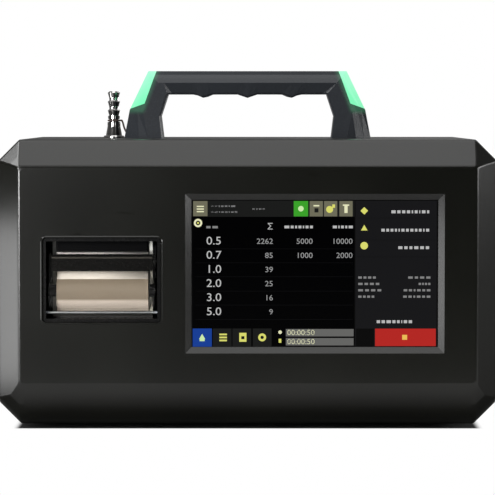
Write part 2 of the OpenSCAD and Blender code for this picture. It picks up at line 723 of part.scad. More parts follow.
module display_bracket() color("#a8acb0") difference() {
    union() {
        along_y(bracket_y, bracket_t) translate([screen_x, screen_z])
            rounded_rect(2 * bracket_screw_x + 8, 2 * bracket_screw_z + 8, 4);
        for (s = [-1, 1]) box(screen_x - 60, screen_x + 60, bracket_y, bracket_y + 9,
            screen_z + s * (screen_h / 2 + 5) - 0.75, screen_z + s * (screen_h / 2 + 5) + 0.75);
    }
    along_y(bracket_y - over, bracket_t + 2 * over) translate([screen_x, screen_z])
        rounded_rect(screen_w - 24, screen_h - 24, 5);
    for (p = bracket_points) rod_y(bracket_y - over, 4, 1.6, p.x, p.y);
}

board_y = bracket_y + bracket_t + 8;
board_t = 1.6;
board_points = [for (sx = [-1, 1], sz = [-1, 1])
    [screen_x + sx * (screen_w / 2 - 6), screen_z + sz * (screen_h / 2 - 6)]];
// Components on the board, as left, right, low and high from the middle of the screen, then height
board_parts = [
    [-16, 16, -14, 18, 7], [26, 44, -8, 10, 2], [-44, -30, -20, -6, 2.5],
    [-60, -24, -38, -30, 8], [10, 40, -38, -30, 8]
];

module board_standoffs() color("#c8b070") for (p = board_points)
    rod_y(bracket_y + bracket_t, board_y - bracket_y - bracket_t, 3, p.x, p.y);

module main_board() color("#1f5c3a") {
    difference() {
        box(screen_x - screen_w / 2, screen_x + screen_w / 2, board_y, board_y + board_t,
            screen_z - screen_h / 2, screen_z + screen_h / 2);
        for (p = board_points) rod_y(board_y - over, board_t + 2 * over, 1.6, p.x, p.y);
    }
    y1 = board_y + board_t;
    for (q = board_parts)
        box(screen_x + q[0], screen_x + q[1], y1, y1 + q[4], screen_z + q[2], screen_z + q[3]);
    for (k = [0 : 3]) rod_y(y1, 9, 4, screen_x - 60 + 11 * k, screen_z + 32);
}

// Printer
frame_w = pocket_w - 2 * slip_gap;
frame_h = pocket_h - 2 * slip_gap;
frame_wall = 2;
frame_y0 = y_front + 1;
frame_y1 = frame_y0 + 48;
frame_in_x = frame_w / 2 - frame_wall;
frame_floor = pocket_z - frame_h / 2 + frame_wall;
frame_roof = pocket_z + frame_h / 2 - frame_wall;
frame_back = frame_y1 - frame_wall;

door_w = pocket_w - 8;
door_t = 2;
door_curve = 130;
hinge_y = y_front + 6;
hinge_z = frame_floor + 3.6;
hinge_boss = 2.5;
hinge_pin_r = 1;
door_top = hinge_z + 36.6;
door_bottom = hinge_z - 1.5;
door_face_y = y_front + 2;

cradle_y0 = y_front + 15.5;
roll_y = y_front + 25;
roll_z = frame_floor + roll_d / 2 + 0.7;
spindle_r = 5.9;
journal_r = 4;
cheek_in = paper_w / 2 + 0.65;
cheek_t = 2;
cheek_out = cheek_in + cheek_t;
gear_x0 = cheek_out + slip_gap;
gear_w = 1.8;

platen_y = y_front + 9.8;
platen_z = hinge_z + 31.6;
platen_shaft_r = 1.25;
platen_teeth = 12;
idler_teeth = 34;
pinion_teeth = 12;
mesh_gap = 0.05;
idler_y = platen_y + gear_m * (platen_teeth + idler_teeth) / 2 + mesh_gap;
pinion_angle = 25;
pinion_run = gear_m * (idler_teeth + pinion_teeth) / 2 + mesh_gap;
pinion_y = idler_y + pinion_run * cos(pinion_angle);
pinion_z = platen_z + pinion_run * sin(pinion_angle);
head_y = platen_y + platen_d / 2 + slip_gap;
head_t = 3;
blade_t = 0.8;
blade_z = door_top + 1.1;

// Straight-flanked gear outline with its first tooth centred on the X axis
tooth_play = 0.07;
function tooth(k, n) =
    let (
        r = gear_m * n / 2, tip = r + 0.85 * gear_m, root = r - 1.1 * gear_m,
        half = (PI * gear_m / 4 - tooth_play) / r * 180 / PI,
        half_tip = half - gear_m * 0.85 * tan(24) / r * 180 / PI, a = 360 * k / n
    )
    [for (q = [[root, -half], [r, -half], [tip, -half_tip], [tip, half_tip], [r, half], [root, half]])
        q.x * [cos(a + q.y), sin(a + q.y)]];
module gear(n, turn, bore) rotate(turn) difference() {
    polygon([for (k = [0 : n - 1]) each tooth(k, n)]);
    circle(bore);
}

module printer_frame() color("#101214") difference() {
    union() {
        along_y(frame_y0, frame_y1 - frame_y0) translate([pocket_x, pocket_z])
            rounded_rect(frame_w, frame_h, pocket_r - slip_gap);
        along_y(y_inner_front, 2) translate([pocket_x, pocket_z]) rounded_rect(frame_w + 8, frame_h + 8, 4);
    }
    box(pocket_x - frame_in_x, pocket_x + frame_in_x, frame_y0 - over, frame_back, frame_floor, frame_roof);
    rod_x(pocket_x - frame_w / 2 - 5, frame_w + 10, hinge_pin_r + run_gap, hinge_y, hinge_z);
}

module roll_cradle() color("#b9bdb8") difference() {
    union() {
        for (s = [-1, 1]) translate([pocket_x + s * (cheek_in + cheek_t / 2), 0, 0])
            box(-cheek_t / 2, cheek_t / 2, cradle_y0, frame_back, frame_floor, frame_roof);
        difference() {
            box(pocket_x - cheek_in - eps, pocket_x + cheek_in + eps, cradle_y0, frame_back,
                frame_floor, frame_floor + 12);
            rod_x(pocket_x - cheek_out, 2 * cheek_out, roll_d / 2 + 0.6, roll_y, roll_z);
        }
        rod_x(pocket_x + cheek_out - eps, gear_w + 0.5, 1.5, idler_y, platen_z);
    }
    for (s = [-1, 1]) translate([pocket_x + s * (cheek_in + cheek_t / 2), 0, 0]) {
        rod_x(-cheek_t, 2 * cheek_t, journal_r + run_gap, roll_y, roll_z);
        box(-cheek_t, cheek_t, y_front, roll_y, roll_z - journal_r - run_gap, roll_z + journal_r + run_gap);
    }
    rod_x(pocket_x + cheek_in - over, cheek_t + 2 * over, 1.6, pinion_y, pinion_z);
}

door_mid = (door_top + door_bottom) / 2;
module door_disc(r) translate([door_face_y + door_curve, door_mid]) circle(r, $fn = 720);

module printer_door() color("#5a6068", 0.5) difference() {
    union() {
        along_x(pocket_x - door_w / 2, door_w) intersection() {
            difference() {
                door_disc(door_curve);
                door_disc(door_curve - door_t);
            }
            translate([door_face_y - 1, door_bottom]) square([8, door_top - door_bottom]);
        }
        rod_x(pocket_x - door_w / 2, door_w, hinge_boss, hinge_y, hinge_z);
        for (s = [-1, 1]) translate([pocket_x + s * (door_w / 2 - 0.75), 0, 0])
            box(-0.75, 0.75, door_face_y + 1.6, hinge_y + 3, hinge_z, hinge_z + 22);
    }
    rod_x(pocket_x - door_w / 2 - over, door_w + 2 * over, hinge_pin_r + run_gap, hinge_y, hinge_z);
}

bar_curve = door_curve - door_t - 0.1;
bar_low = platen_z - 5.6;
bar_top = door_top - 0.2;
bar_back = platen_y + 3.6;
bar_chamfer = 1;
// The bar's front follows the inside of the door, up to the chamfer along its top edge
bar_front = door_face_y + door_curve - sqrt(pow(bar_curve, 2) - pow(bar_top - door_mid, 2));
module platen_bar() color("#0c0d0e") difference() {
    along_x(pocket_x - cheek_out, 2 * cheek_out) intersection() {
        polygon([
            [door_face_y, bar_low], [bar_back, bar_low], [bar_back, bar_top],
            [bar_front + bar_chamfer, bar_top], [door_face_y, bar_top - bar_chamfer - (bar_front - door_face_y)]
        ]);
        door_disc(bar_curve);
    }
    rod_x(pocket_x - cheek_in, 2 * cheek_in, platen_d / 2 + slip_gap, platen_y, platen_z);
    rod_x(pocket_x - cheek_out - over, 2 * (cheek_out + over), platen_shaft_r + run_gap, platen_y, platen_z);
}

module platen_roller() color("#3a3a3a") {
    rod_x(pocket_x - paper_w / 2, paper_w, platen_d / 2, platen_y, platen_z);
    rod_x(pocket_x - cheek_out, cheek_out + gear_x0 + gear_w, platen_shaft_r, platen_y, platen_z);
}

module platen_gear() color("#e8e4d8") along_x(pocket_x + gear_x0, gear_w)
    translate([platen_y, platen_z]) gear(platen_teeth, 0, platen_shaft_r + eps);

idler_turn = 180 + 180 / idler_teeth;
module idler_gear() color("#e8e4d8") along_x(pocket_x + gear_x0, gear_w)
    translate([idler_y, platen_z]) gear(idler_teeth, idler_turn, 1.5 + run_gap);

// How far the line to the pinion lies past the nearest idler tooth, carried over to the pinion
idler_pitch = 360 / idler_teeth;
tooth_offset = pinion_angle - idler_turn - idler_pitch * round((pinion_angle - idler_turn) / idler_pitch);
pinion_turn = pinion_angle + 180 + tooth_offset * idler_teeth / pinion_teeth + 180 / pinion_teeth;
pinion_shaft_r = 1;
module motor_pinion() color("#d9b45a") {
    along_x(pocket_x + gear_x0, gear_w) translate([pinion_y, pinion_z])
        gear(pinion_teeth, pinion_turn, pinion_shaft_r - eps);
    rod_x(pocket_x + cheek_in - 4, cheek_t + 4 + slip_gap + gear_w, pinion_shaft_r, pinion_y, pinion_z);
}

motor_r = 6.8;
motor_len = 18;
module printer_motor() color("#9fa3a6") difference() {
    union() {
        rod_x(pocket_x + cheek_in - motor_len, motor_len, motor_r, pinion_y, pinion_z);
        rod_x(pocket_x + cheek_in - motor_len - 1.5, 2, 3, pinion_y, pinion_z);
    }
    rod_x(pocket_x + cheek_in - 5, 5 + over, pinion_shaft_r + run_gap, pinion_y, pinion_z);
}

module thermal_head() color("#c2c5c8") translate([pocket_x, 0, 0]) {
    box(-paper_w / 2, paper_w / 2, head_y, head_y + head_t, platen_z - 3.5, frame_roof);
    for (k = [-2 : 2])
        box(11 * k - 3, 11 * k + 3, head_y + head_t, head_y + head_t + 1.5, frame_roof - 8, frame_roof - 1);
}

tear_pitch = 1.75;
tear_count = 32;
module tear_bar() color("#c9ccce") {
    blade_y = y_front + 5.5;
    half = tear_pitch * tear_count / 2;
    translate([pocket_x, 0, blade_z]) linear_extrude(blade_t) polygon(concat(
        [[half, head_y - slip_gap], [-half, head_y - slip_gap]],
        [for (k = [0 : tear_count - 1]) each [
            [-half + tear_pitch * k, blade_y + 0.9], [-half + tear_pitch * (k + 0.5), blade_y]
        ]],
        [[half, blade_y + 0.9]]));
    box(pocket_x - half, pocket_x + half, head_y - slip_gap - blade_t, head_y - slip_gap,
        blade_z, frame_roof);
}

module paper_roll() color("#efe9df") difference() {
    rod_x(pocket_x - paper_w / 2, paper_w, roll_d / 2, roll_y, roll_z);
    rod_x(pocket_x - paper_w / 2 - over, paper_w + 2 * over, spindle_r + 0.15, roll_y, roll_z);
}

module paper_spindle() color("#1b1b1c") {
    rod_x(pocket_x - cheek_out - 2, 2 * (cheek_out + 2), journal_r, roll_y, roll_z);
    rod_x(pocket_x - cheek_in + slip_gap, 2 * (cheek_in - slip_gap), spindle_r, roll_y, roll_z);
}

module hinge_pins() color("silver") {
    rod_x(pocket_x - frame_w / 2 + 0.5, frame_w - 1, hinge_pin_r, hinge_y, hinge_z);
    rod_x(battery_x - knuckle_half, 2 * knuckle_half, bay_pin_r, bay_hinge_y, bay_hinge_z);
}

// Battery bay
battery_x = case_w / 2 - 50.5;
tray_wall = 1.5;
bay_gap = 0.5;
bay_w = battery_w + 2 * bay_gap;
bay_h = battery_h + 2 * bay_gap;
bay_z = chassis_top + tray_wall;
battery_y1 = y_panel_in - 4;
tray_y0 = battery_y1 - battery_len - tray_wall - 0.5;
latch_r = 2.5;
cam_t = 1.5;
cam_w = 5;
knob_r = 6.5;
bay_pin_r = 1.25;
knuckle_r = 2.3;
knuckle_half = bay_w / 2 - 2;
knuckle_mid = 18;
bay_hinge_y = y_panel + 0.4;
bay_hinge_z = bay_z - 0.6;
bay_top = bay_z + bay_h;
latch_z = bay_top - 8.5;
cam_reach = bay_top - latch_z + 2.5;
notch_half = cam_reach;

module battery_tray() color("#26292c") difference() {
    box(battery_x - bay_w / 2 - tray_wall, battery_x + bay_w / 2 + tray_wall, tray_y0, y_panel_in,
        chassis_top, bay_top + tray_wall);
    box(battery_x - bay_w / 2, battery_x + bay_w / 2, tray_y0 + tray_wall, y_panel_in + over, bay_z, bay_top);
    box(battery_x - notch_half, battery_x + notch_half, battery_y1, y_panel_in + over, bay_top - over,
        bay_top + 2 * tray_wall);
}

module battery_pack() color("#3b3f45") translate([battery_x, battery_y1 - battery_len, bay_z]) {
    along_y(0, battery_len) translate([0, battery_h / 2]) rounded_rect(battery_w, battery_h, 3);
    along_y(battery_len, 1.5) translate([0, battery_h / 2]) rounded_rect(26, 10, 2);
}

module battery_door() color("#1d2023") difference() {
    union() {
        box(battery_x - bay_w / 2 + cover_gap, battery_x + bay_w / 2 - cover_gap, y_panel_in, y_panel,
            bay_z + cover_gap, bay_top - cover_gap);
        rod_x(battery_x - knuckle_mid, 2 * knuckle_mid, knuckle_r, bay_hinge_y, bay_hinge_z);
        for (x = [-24 : 6 : 24]) box(battery_x + x - 0.8, battery_x + x + 0.8, y_panel - eps, y_panel + 0.7,
            bay_z + 10, latch_z - 12);
    }
    rod_x(battery_x - bay_w / 2 - over, bay_w + 2 * over, bay_pin_r + run_gap, bay_hinge_y, bay_hinge_z);
    for (s = [-1, 1]) translate([s * (knuckle_mid + bay_w / 4), 0, 0])
        rod_x(battery_x - bay_w / 4, bay_w / 2, knuckle_r + cover_gap, bay_hinge_y, bay_hinge_z);
    rod_y(y_panel_in - over, panel_t + 2 * over, latch_r + run_gap, battery_x, latch_z);
}

// Quarter-turn fastener, shown released, with its cam lying across
module battery_latch() color("#b9bcbf") {
    rod_y(y_panel_in - slip_gap - cam_t, panel_t + 2 * slip_gap + cam_t, latch_r, battery_x, latch_z);
    box(battery_x - cam_w / 2, battery_x + cam_reach, y_panel_in - slip_gap - cam_t, y_panel_in - slip_gap,
        latch_z - cam_w / 2, latch_z + cam_w / 2);
    rod_y(y_panel + slip_gap, 0.8, knob_r, battery_x, latch_z);
    along_y(y_panel + slip_gap + 0.8 - eps, 1.1 + eps)
        translate([battery_x, latch_z]) rounded_rect(2 * knob_r - 1.5, 3, 1);
}

// Rear panel
fan_x = -100;
fan_z = z_top - 56;
fan_t = 15;
fan_bore = fan_size / 2 - 1.5;
fan_hole = fan_size * 0.417;
io_x = -20;
io_z = z_top - 58;
io_w = 64;
io_h = 42;
io_depth = 17.4;
io_points = [for (sx = [-1, 1], sz = [-1, 1]) [io_x + sx * (io_w / 2 - 4), io_z + sz * (io_h / 2 - 4)]];
lan_x = io_x - 15;
usb_x = [io_x + 6, io_x + 18];
lan_w = 16;
lan_h = 14;
usb_w = 6.4;
usb_h = 14;
dc_x = 28;
dc_r = 5.8;
switch_x = 54;
switch_w = 13;
switch_h = 20;
switch_wall = 1.4;
rocker_tilt = 8;
rocker_y = y_panel - 1;
speaker_x = 106;
speaker_r = 20;
speaker_z = z_top - 50;
speaker_pitch = 5;
speaker_holes = [for (i = [-3 : 3], j = [-3 : 3])
    let (p = [speaker_pitch * (i + j / 2), speaker_pitch * j * sin(60)])
    if (norm(p) < speaker_r * 0.72) p];

// Cuts through the rear panel: round, and square with its middle at x, z
module panel_bore(r, x, z) rod_y(y_panel_in - over, panel_t + 2 * over, r, x, z);
module panel_slot(w, h, x, z)
    box(x - w / 2, x + w / 2, y_panel_in - over, y_panel + over, z - h / 2, z + h / 2);

module rear_panel() color("#202326") {
    difference() {
        union() {
            case_band(y_panel_in, y_panel, case_wall + panel_gap);
            for (p = io_points) rod_y(y_panel_in - io_depth, io_depth + eps, 3, p.x, p.y);
            for (x0 = [knuckle_mid + cover_gap, -knuckle_half])
                rod_x(battery_x + x0, knuckle_half - knuckle_mid - cover_gap, knuckle_r,
                    bay_hinge_y, bay_hinge_z);
        }
        rod_x(battery_x - knuckle_half - over, 2 * (knuckle_half + over), bay_pin_r + run_gap,
            bay_hinge_y, bay_hinge_z);
        panel_bore(fan_bore, fan_x, fan_z);
        for (sx = [-1, 1], sz = [-1, 1]) panel_bore(1.8, fan_x + sx * fan_hole, fan_z + sz * fan_hole);
        panel_slot(bay_w, bay_h, battery_x, bay_z + bay_h / 2);
        rod_x(battery_x - knuckle_mid - cover_gap, 2 * (knuckle_mid + cover_gap), knuckle_r + cover_gap,
            bay_hinge_y, bay_hinge_z);
        for (p = io_points) rod_y(y_panel_in - io_depth - over, 8, 1.25, p.x, p.y);
        panel_slot(lan_w + 2 * slip_gap, lan_h + 2 * slip_gap, lan_x, io_z);
        for (x = usb_x) panel_slot(usb_w + 2 * slip_gap, usb_h + 2 * slip_gap, x, io_z);
        panel_bore(dc_r + 0.2, dc_x, io_z);
        panel_slot(switch_w + 2 * slip_gap, switch_h + 2 * slip_gap, switch_x, io_z);
        panel_bore(5 + run_gap, filter_x, filter_z);
        for (p = speaker_holes) panel_bore(1.5, speaker_x + p.x, speaker_z + p.y);
        for (p = panel_screw_points) panel_bore(1.7, p.x, p.y);
    }
}

module io_board() color("#1f5c3a") {
    y1 = y_panel_in - io_depth;
    difference() {
        box(io_x - io_w / 2, io_x + io_w / 2, y1 - board_t, y1, io_z - io_h / 2, io_z + io_h / 2);
        for (p = io_points) rod_y(y1 - board_t - over, board_t + 2 * over, 1.6, p.x, p.y);
    }
    box(io_x - 8, io_x + 6, y1 - board_t - 2, y1 - board_t, io_z - 6, io_z + 8);
    box(io_x - 24, io_x - 10, y1 - board_t - 6.4, y1 - board_t, io_z + 10, io_z + 15);
}

usb_shell = 0.65;
module port_sockets() color("#b9bcc0") translate([0, y_panel, io_z]) {
    y0 = y_panel_in - io_depth - y_panel;
    y1 = 0.4;
    bottom = y1 - 13;
    difference() {
        box(lan_x - lan_w / 2, lan_x + lan_w / 2, y0, y1, -lan_h / 2, lan_h / 2);
        box(lan_x - 5.9, lan_x + 5.9, bottom, y1 + over, -2.6, 4.6);
        box(lan_x - 3.2, lan_x + 3.2, bottom, y1 + over, -5, -2.5);
    }
    for (x = usb_x) translate([x, 0, 0]) {
        difference() {
            box(-usb_w / 2, usb_w / 2, y0, y1, -usb_h / 2, usb_h / 2);
            box(usb_shell - usb_w / 2, usb_w / 2 - usb_shell, bottom, y1 + over,
                usb_shell - usb_h / 2, usb_h / 2 - usb_shell);
        }
        box(-0.2, 1.8, bottom - eps, y1 - 1, 2 - usb_h / 2, usb_h / 2 - 2);
    }
}

module dc_socket() color("#17181a") {
    difference() {
        union() {
            rod_y(y_panel_in - 10, 10 + panel_t, dc_r, dc_x, io_z);
            rod_y(y_panel, 1.6, 7.5, dc_x, io_z);
            translate([dc_x, y_panel_in - 3, io_z]) rotate([-90, 0, 0]) cylinder(h = 3, r = 8.5, $fn = 6);
        }
        rod_y(y_panel - 8, 10, 3.2, dc_x, io_z);
    }
    rod_y(y_panel - 8 - eps, 8.5, 1, dc_x, io_z);
}

module switch_body() color("#151618") difference() {
    union() {
        box(switch_x - switch_w / 2, switch_x + switch_w / 2, y_panel_in - 14, y_panel,
            io_z - switch_h / 2, io_z + switch_h / 2);
        along_y(y_panel, 1.2) translate([switch_x, io_z]) rounded_rect(switch_w + 3, switch_h + 3, 1.5);
    }
    box(switch_x - switch_w / 2 + switch_wall, switch_x + switch_w / 2 - switch_wall, rocker_y - 6, y_panel + 2,
        io_z - 9.4, io_z + 9.4);
    rod_x(switch_x - switch_w / 2 - over, switch_w + 2 * over, 1 + run_gap, rocker_y, io_z);
}

module power_rocker() color("#26282b") translate([0, rocker_y, io_z]) rotate([-rocker_tilt, 0, 0]) {
    half = switch_w / 2 - switch_wall - slip_gap;
    along_x(switch_x - half, 2 * half) polygon([
        [-3.4, -6.2], [0.4, -8.8], [2.6, -8.4], [1.7, 0], [2.6, 8.4], [0.4, 8.8], [-3.4, 6.2]
    ]);
    rod_x(switch_x - half - 1, 2 * half + 2, 1, 0, 0);
}

module fan_frame() color("#1a1b1c") {
    y0 = y_panel_in - fan_t;
    difference() {
        along_y(y0, fan_t) translate([fan_x, fan_z]) rounded_rect(fan_size, fan_size, 4);
        rod_y(y0 - over, fan_t + 2 * over, fan_bore, fan_x, fan_z);
        for (sx = [-1, 1], sz = [-1, 1])
            rod_y(y0 - over, fan_t + 2 * over, 2.1, fan_x + sx * fan_hole, fan_z + sz * fan_hole);
    }
    rod_y(y0, 2, 10, fan_x, fan_z);
    rod_y(y0 + 2 - eps, 8, fan_pin_r, fan_x, fan_z);
    for (a = [20 : 120 : 260])
        translate([fan_x, y0, fan_z]) rotate([0, a, 0]) box(9, fan_bore + 0.8, 0, 2, -2, 2);
}

fan_pin_r = 1.5;
fan_hub_r = 12;
blade_pitch = 38;
module fan_rotor() color("#2a2c2e") translate([fan_x, y_panel_in - fan_t, fan_z]) {
    difference() {
        rod_y(2.6, 10.4, fan_hub_r, 0, 0);
        rod_y(2, 9, fan_pin_r + run_gap, 0, 0);
    }
    intersection() {
        rod_y(2.6, 10.4, fan_bore - 1, 0, 0);
        for (k = [0 : 6]) rotate([0, 360 * k / 7, 0]) translate([fan_hub_r - 1, 7.8, 0])
            rotate([blade_pitch, 0, 0]) box(0, fan_bore, -8, 8, -0.6, 0.6);
    }
}

module fan_guard() color("#c4c7c9") along_y(y_panel, 1.4) translate([fan_x, fan_z]) {
    for (r = [7 : 5.5 : fan_size / 2]) difference() {
        circle(r + 0.8);
        circle(r - 0.8);
    }
    circle(2.4);
    for (a = [45 : 90 : 315]) rotate(a) difference() {
        union() {
            translate([2, -0.9]) square([fan_hole * sqrt(2) - 2, 1.8]);
            translate([fan_hole * sqrt(2), 0]) circle(4);
        }
        translate([fan_hole * sqrt(2), 0]) circle(1.8);
    }
}

module speaker() color("#34373a") translate([speaker_x, y_panel_in, speaker_z]) difference() {
    union() {
        rod_y(-2, 2, speaker_r, 0, 0);
        translate([0, -8, 0]) rotate([-90, 0, 0]) cylinder(h = 6, r1 = 11, r2 = speaker_r - 2);
        rod_y(-14, 6 + eps, 11, 0, 0);
    }
    translate([0, -6, 0]) rotate([-90, 0, 0]) cylinder(h = 6 + over, r1 = 5, r2 = speaker_r - 2);
}

front_housing();
case_shell();
split_gasket();
rear_panel();
base_feet();
chassis_plate();
handle_frame();
status_light_left();
status_light_right();
handle_screws();
inlet_nozzle();
inlet_nut();
tether_ring();
cap_tether();
inlet_cap();
inlet_tube();
sensor_block();
sensor_posts();
laser_housing();
light_trap();
detector_board();
vacuum_hose();
pump_body();
pump_motor();
exhaust_hose();
exhaust_filter();
exhaust_fitting();
touch_panel();
display_module();
display_bracket();
main_board();
board_standoffs();
io_board();
printer_frame();
printer_door();
platen_bar();
platen_roller();
platen_gear();
idler_gear();
motor_pinion();
printer_motor();
thermal_head();
tear_bar();
roll_cradle();
hinge_pins();
paper_roll();
paper_spindle();
battery_tray();
battery_pack();
battery_door();
battery_latch();
fan_frame();
fan_rotor();
fan_guard();
switch_body();
power_rocker();
port_sockets();
dc_socket();
speaker();
case_screws();
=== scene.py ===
import math

import bmesh
import bpy
from mathutils import Matrix, Vector


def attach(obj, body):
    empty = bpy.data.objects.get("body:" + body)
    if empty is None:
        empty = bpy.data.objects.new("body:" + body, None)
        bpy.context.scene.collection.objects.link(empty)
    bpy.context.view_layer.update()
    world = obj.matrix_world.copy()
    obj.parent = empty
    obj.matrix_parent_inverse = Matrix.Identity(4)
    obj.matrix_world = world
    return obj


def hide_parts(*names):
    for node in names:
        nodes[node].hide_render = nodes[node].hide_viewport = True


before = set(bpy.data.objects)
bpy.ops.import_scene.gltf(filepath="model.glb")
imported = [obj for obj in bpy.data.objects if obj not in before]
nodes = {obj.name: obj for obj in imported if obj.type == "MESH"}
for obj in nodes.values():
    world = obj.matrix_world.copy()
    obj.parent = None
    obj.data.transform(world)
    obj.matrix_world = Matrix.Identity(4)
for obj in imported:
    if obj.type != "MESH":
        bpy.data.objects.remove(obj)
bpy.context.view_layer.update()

scene = bpy.context.scene
mm = 0.001


def mmPoint(x, y, z):
    return Vector((x, y, z)) * mm


def meshPiece(name, bm, body, finish=None, smooth=True):
    mesh = bpy.data.meshes.new(name)
    bm.to_mesh(mesh)
    bm.free()
    for face in mesh.polygons:
        face.use_smooth = smooth
    if finish:
        mesh.materials.append(finish.material)
    piece = bpy.data.objects.new(name, mesh)
    scene.collection.objects.link(piece)
    if body:
        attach(piece, body)
    return piece


# camera
cameraSet = {
    "eye": (0, -1855, 199.6),
    "aim": (0, -105, 115.9),
    "sensor": 36,
    "lens": 204.6,
}
cameraData = bpy.data.cameras.new("cameraData")
cameraData.sensor_width = cameraSet["sensor"]
cameraData.lens = cameraSet["lens"]
cameraData.clip_start = 0.05
cameraData.clip_end = 50
camera = bpy.data.objects.new("camera", cameraData)
scene.collection.objects.link(camera)
camera.location = mmPoint(*cameraSet["eye"])
lookAlong = mmPoint(*cameraSet["aim"]) - camera.location
camera.rotation_euler = lookAlong.to_track_quat("-Z", "Y").to_euler()
scene.camera = camera
scene.view_settings.view_transform = "Standard"
print("camera placed")

# tether
tether = {
    "diameter": 1.2,
    "steps": 4,  # from one point of the line to the next
    "sides": 12,
    "lieZ": 183.7,  # it lies on the case behind the handle's foot
    "drop": [
        (-84.25, 22, 194.6), (-83.95, 22, 194.6), (-83.65, 22, 194.5), (-83, 22.1, 192.8),
        (-82.4, 22.3, 190.6), (-81.6, 22.7, 188.4), (-80.4, 23.1, 186.3), (-78.7, 23.7, 184.5),
    ],
    "lay": [
        (-74.5, 25.2), (-71, 27.5), (-67.8, 30.5), (-65.4, 34.2), (-64.2, 38.5), (-64.4, 43),
        (-66, 47.2), (-68.8, 51), (-71.6, 54.6), (-73.6, 58.6), (-74.2, 63), (-73.4, 67.4),
        (-71.8, 71.4), (-70.4, 75.4), (-70, 78.6), (-70, 81),
    ],
}
tetherPoints = tether["drop"] + [(x, y, tether["lieZ"]) for x, y in tether["lay"]]


def smoothLine(points, steps):  # a soft curve through every point
    spots = [mmPoint(*point) for point in points]
    line = []
    for index in range(len(spots) - 1):
        before, start, end, after = (spots[max(0, min(len(spots) - 1, index + shift))] for shift in (-1, 0, 1, 2))
        for step in range(steps):
            t = step / steps
            line.append(.5 * (2 * start + (end - before) * t + (2 * before - 5 * start + 4 * end - after) * t * t
                              + (3 * start - before - 3 * end + after) * t ** 3))
    return line + [spots[-1]]


def sweptTube(line, radius, sides):  # a round tube along a line; its UV map runs along and round it
    bm = bmesh.new()
    uvLayer = bm.loops.layers.uv.new("alongCord")
    rings, run = [], [0]
    side = (line[1] - line[0]).cross(Vector((0, 0, 1))).normalized()
    for index, spot in enumerate(line):
        ahead = (line[min(len(line) - 1, index + 1)] - line[max(0, index - 1)]).normalized()
        side = (side - ahead * side.dot(ahead)).normalized()
        turn = Matrix((side, ahead.cross(side), ahead)).transposed().to_4x4()
        ring = bmesh.ops.create_circle(bm, segments=sides, radius=radius, matrix=Matrix.Translation(spot) @ turn)
        rings.append(ring["verts"])
        run.append(run[-1] + (line[min(len(line) - 1, index + 1)] - spot).length)
    ringOf = {vert: (index, place) for index, ring in enumerate(rings) for place, vert in enumerate(ring)}
    for near, far in zip(rings, rings[1:]):
        for place in range(sides):
            after = (place + 1) % sides
            face = bm.faces.new((near[place], near[after], far[after], far[place]))
            for loop in face.loops:
                index, spot = ringOf[loop.vert]
                across = sides if spot == 0 and place == sides - 1 else spot
                loop[uvLayer].uv = (across / sides, run[index])
    for ring in (rings[0], rings[-1]):
        bm.faces.new(ring)
    bmesh.ops.recalc_face_normals(bm, faces=bm.faces)
    return bm


tetherLine = smoothLine(tetherPoints, tether["steps"])
tetherLength = sum((b - a).length for a, b in zip(tetherLine, tetherLine[1:]))
tube = sweptTube(tetherLine, tether["diameter"] / 2 * mm, tether["sides"])
capTether = meshPiece("capTether", tube, "case")
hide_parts("cap_tether")
print("tether laid, length", round(tetherLength, 4))


# shader tools
class Signal:  # a shader socket that takes part in sums
    def __init__(self, finish, socket):
        self.finish, self.socket = finish, socket

    def math(self, operation, first, second):
        return self.finish.node("ShaderNodeMath", {"operation": operation}, {0: first, 1: second})

    def __add__(self, other):
        return self.math("ADD", self, other)

    def __radd__(self, other):
        return self.math("ADD", other, self)

    def __sub__(self, other):
        return self.math("SUBTRACT", self, other)

    def __rsub__(self, other):
        return self.math("SUBTRACT", other, self)

    def __mul__(self, other):
        return self.math("MULTIPLY", self, other)

    def __rmul__(self, other):
        return self.math("MULTIPLY", other, self)


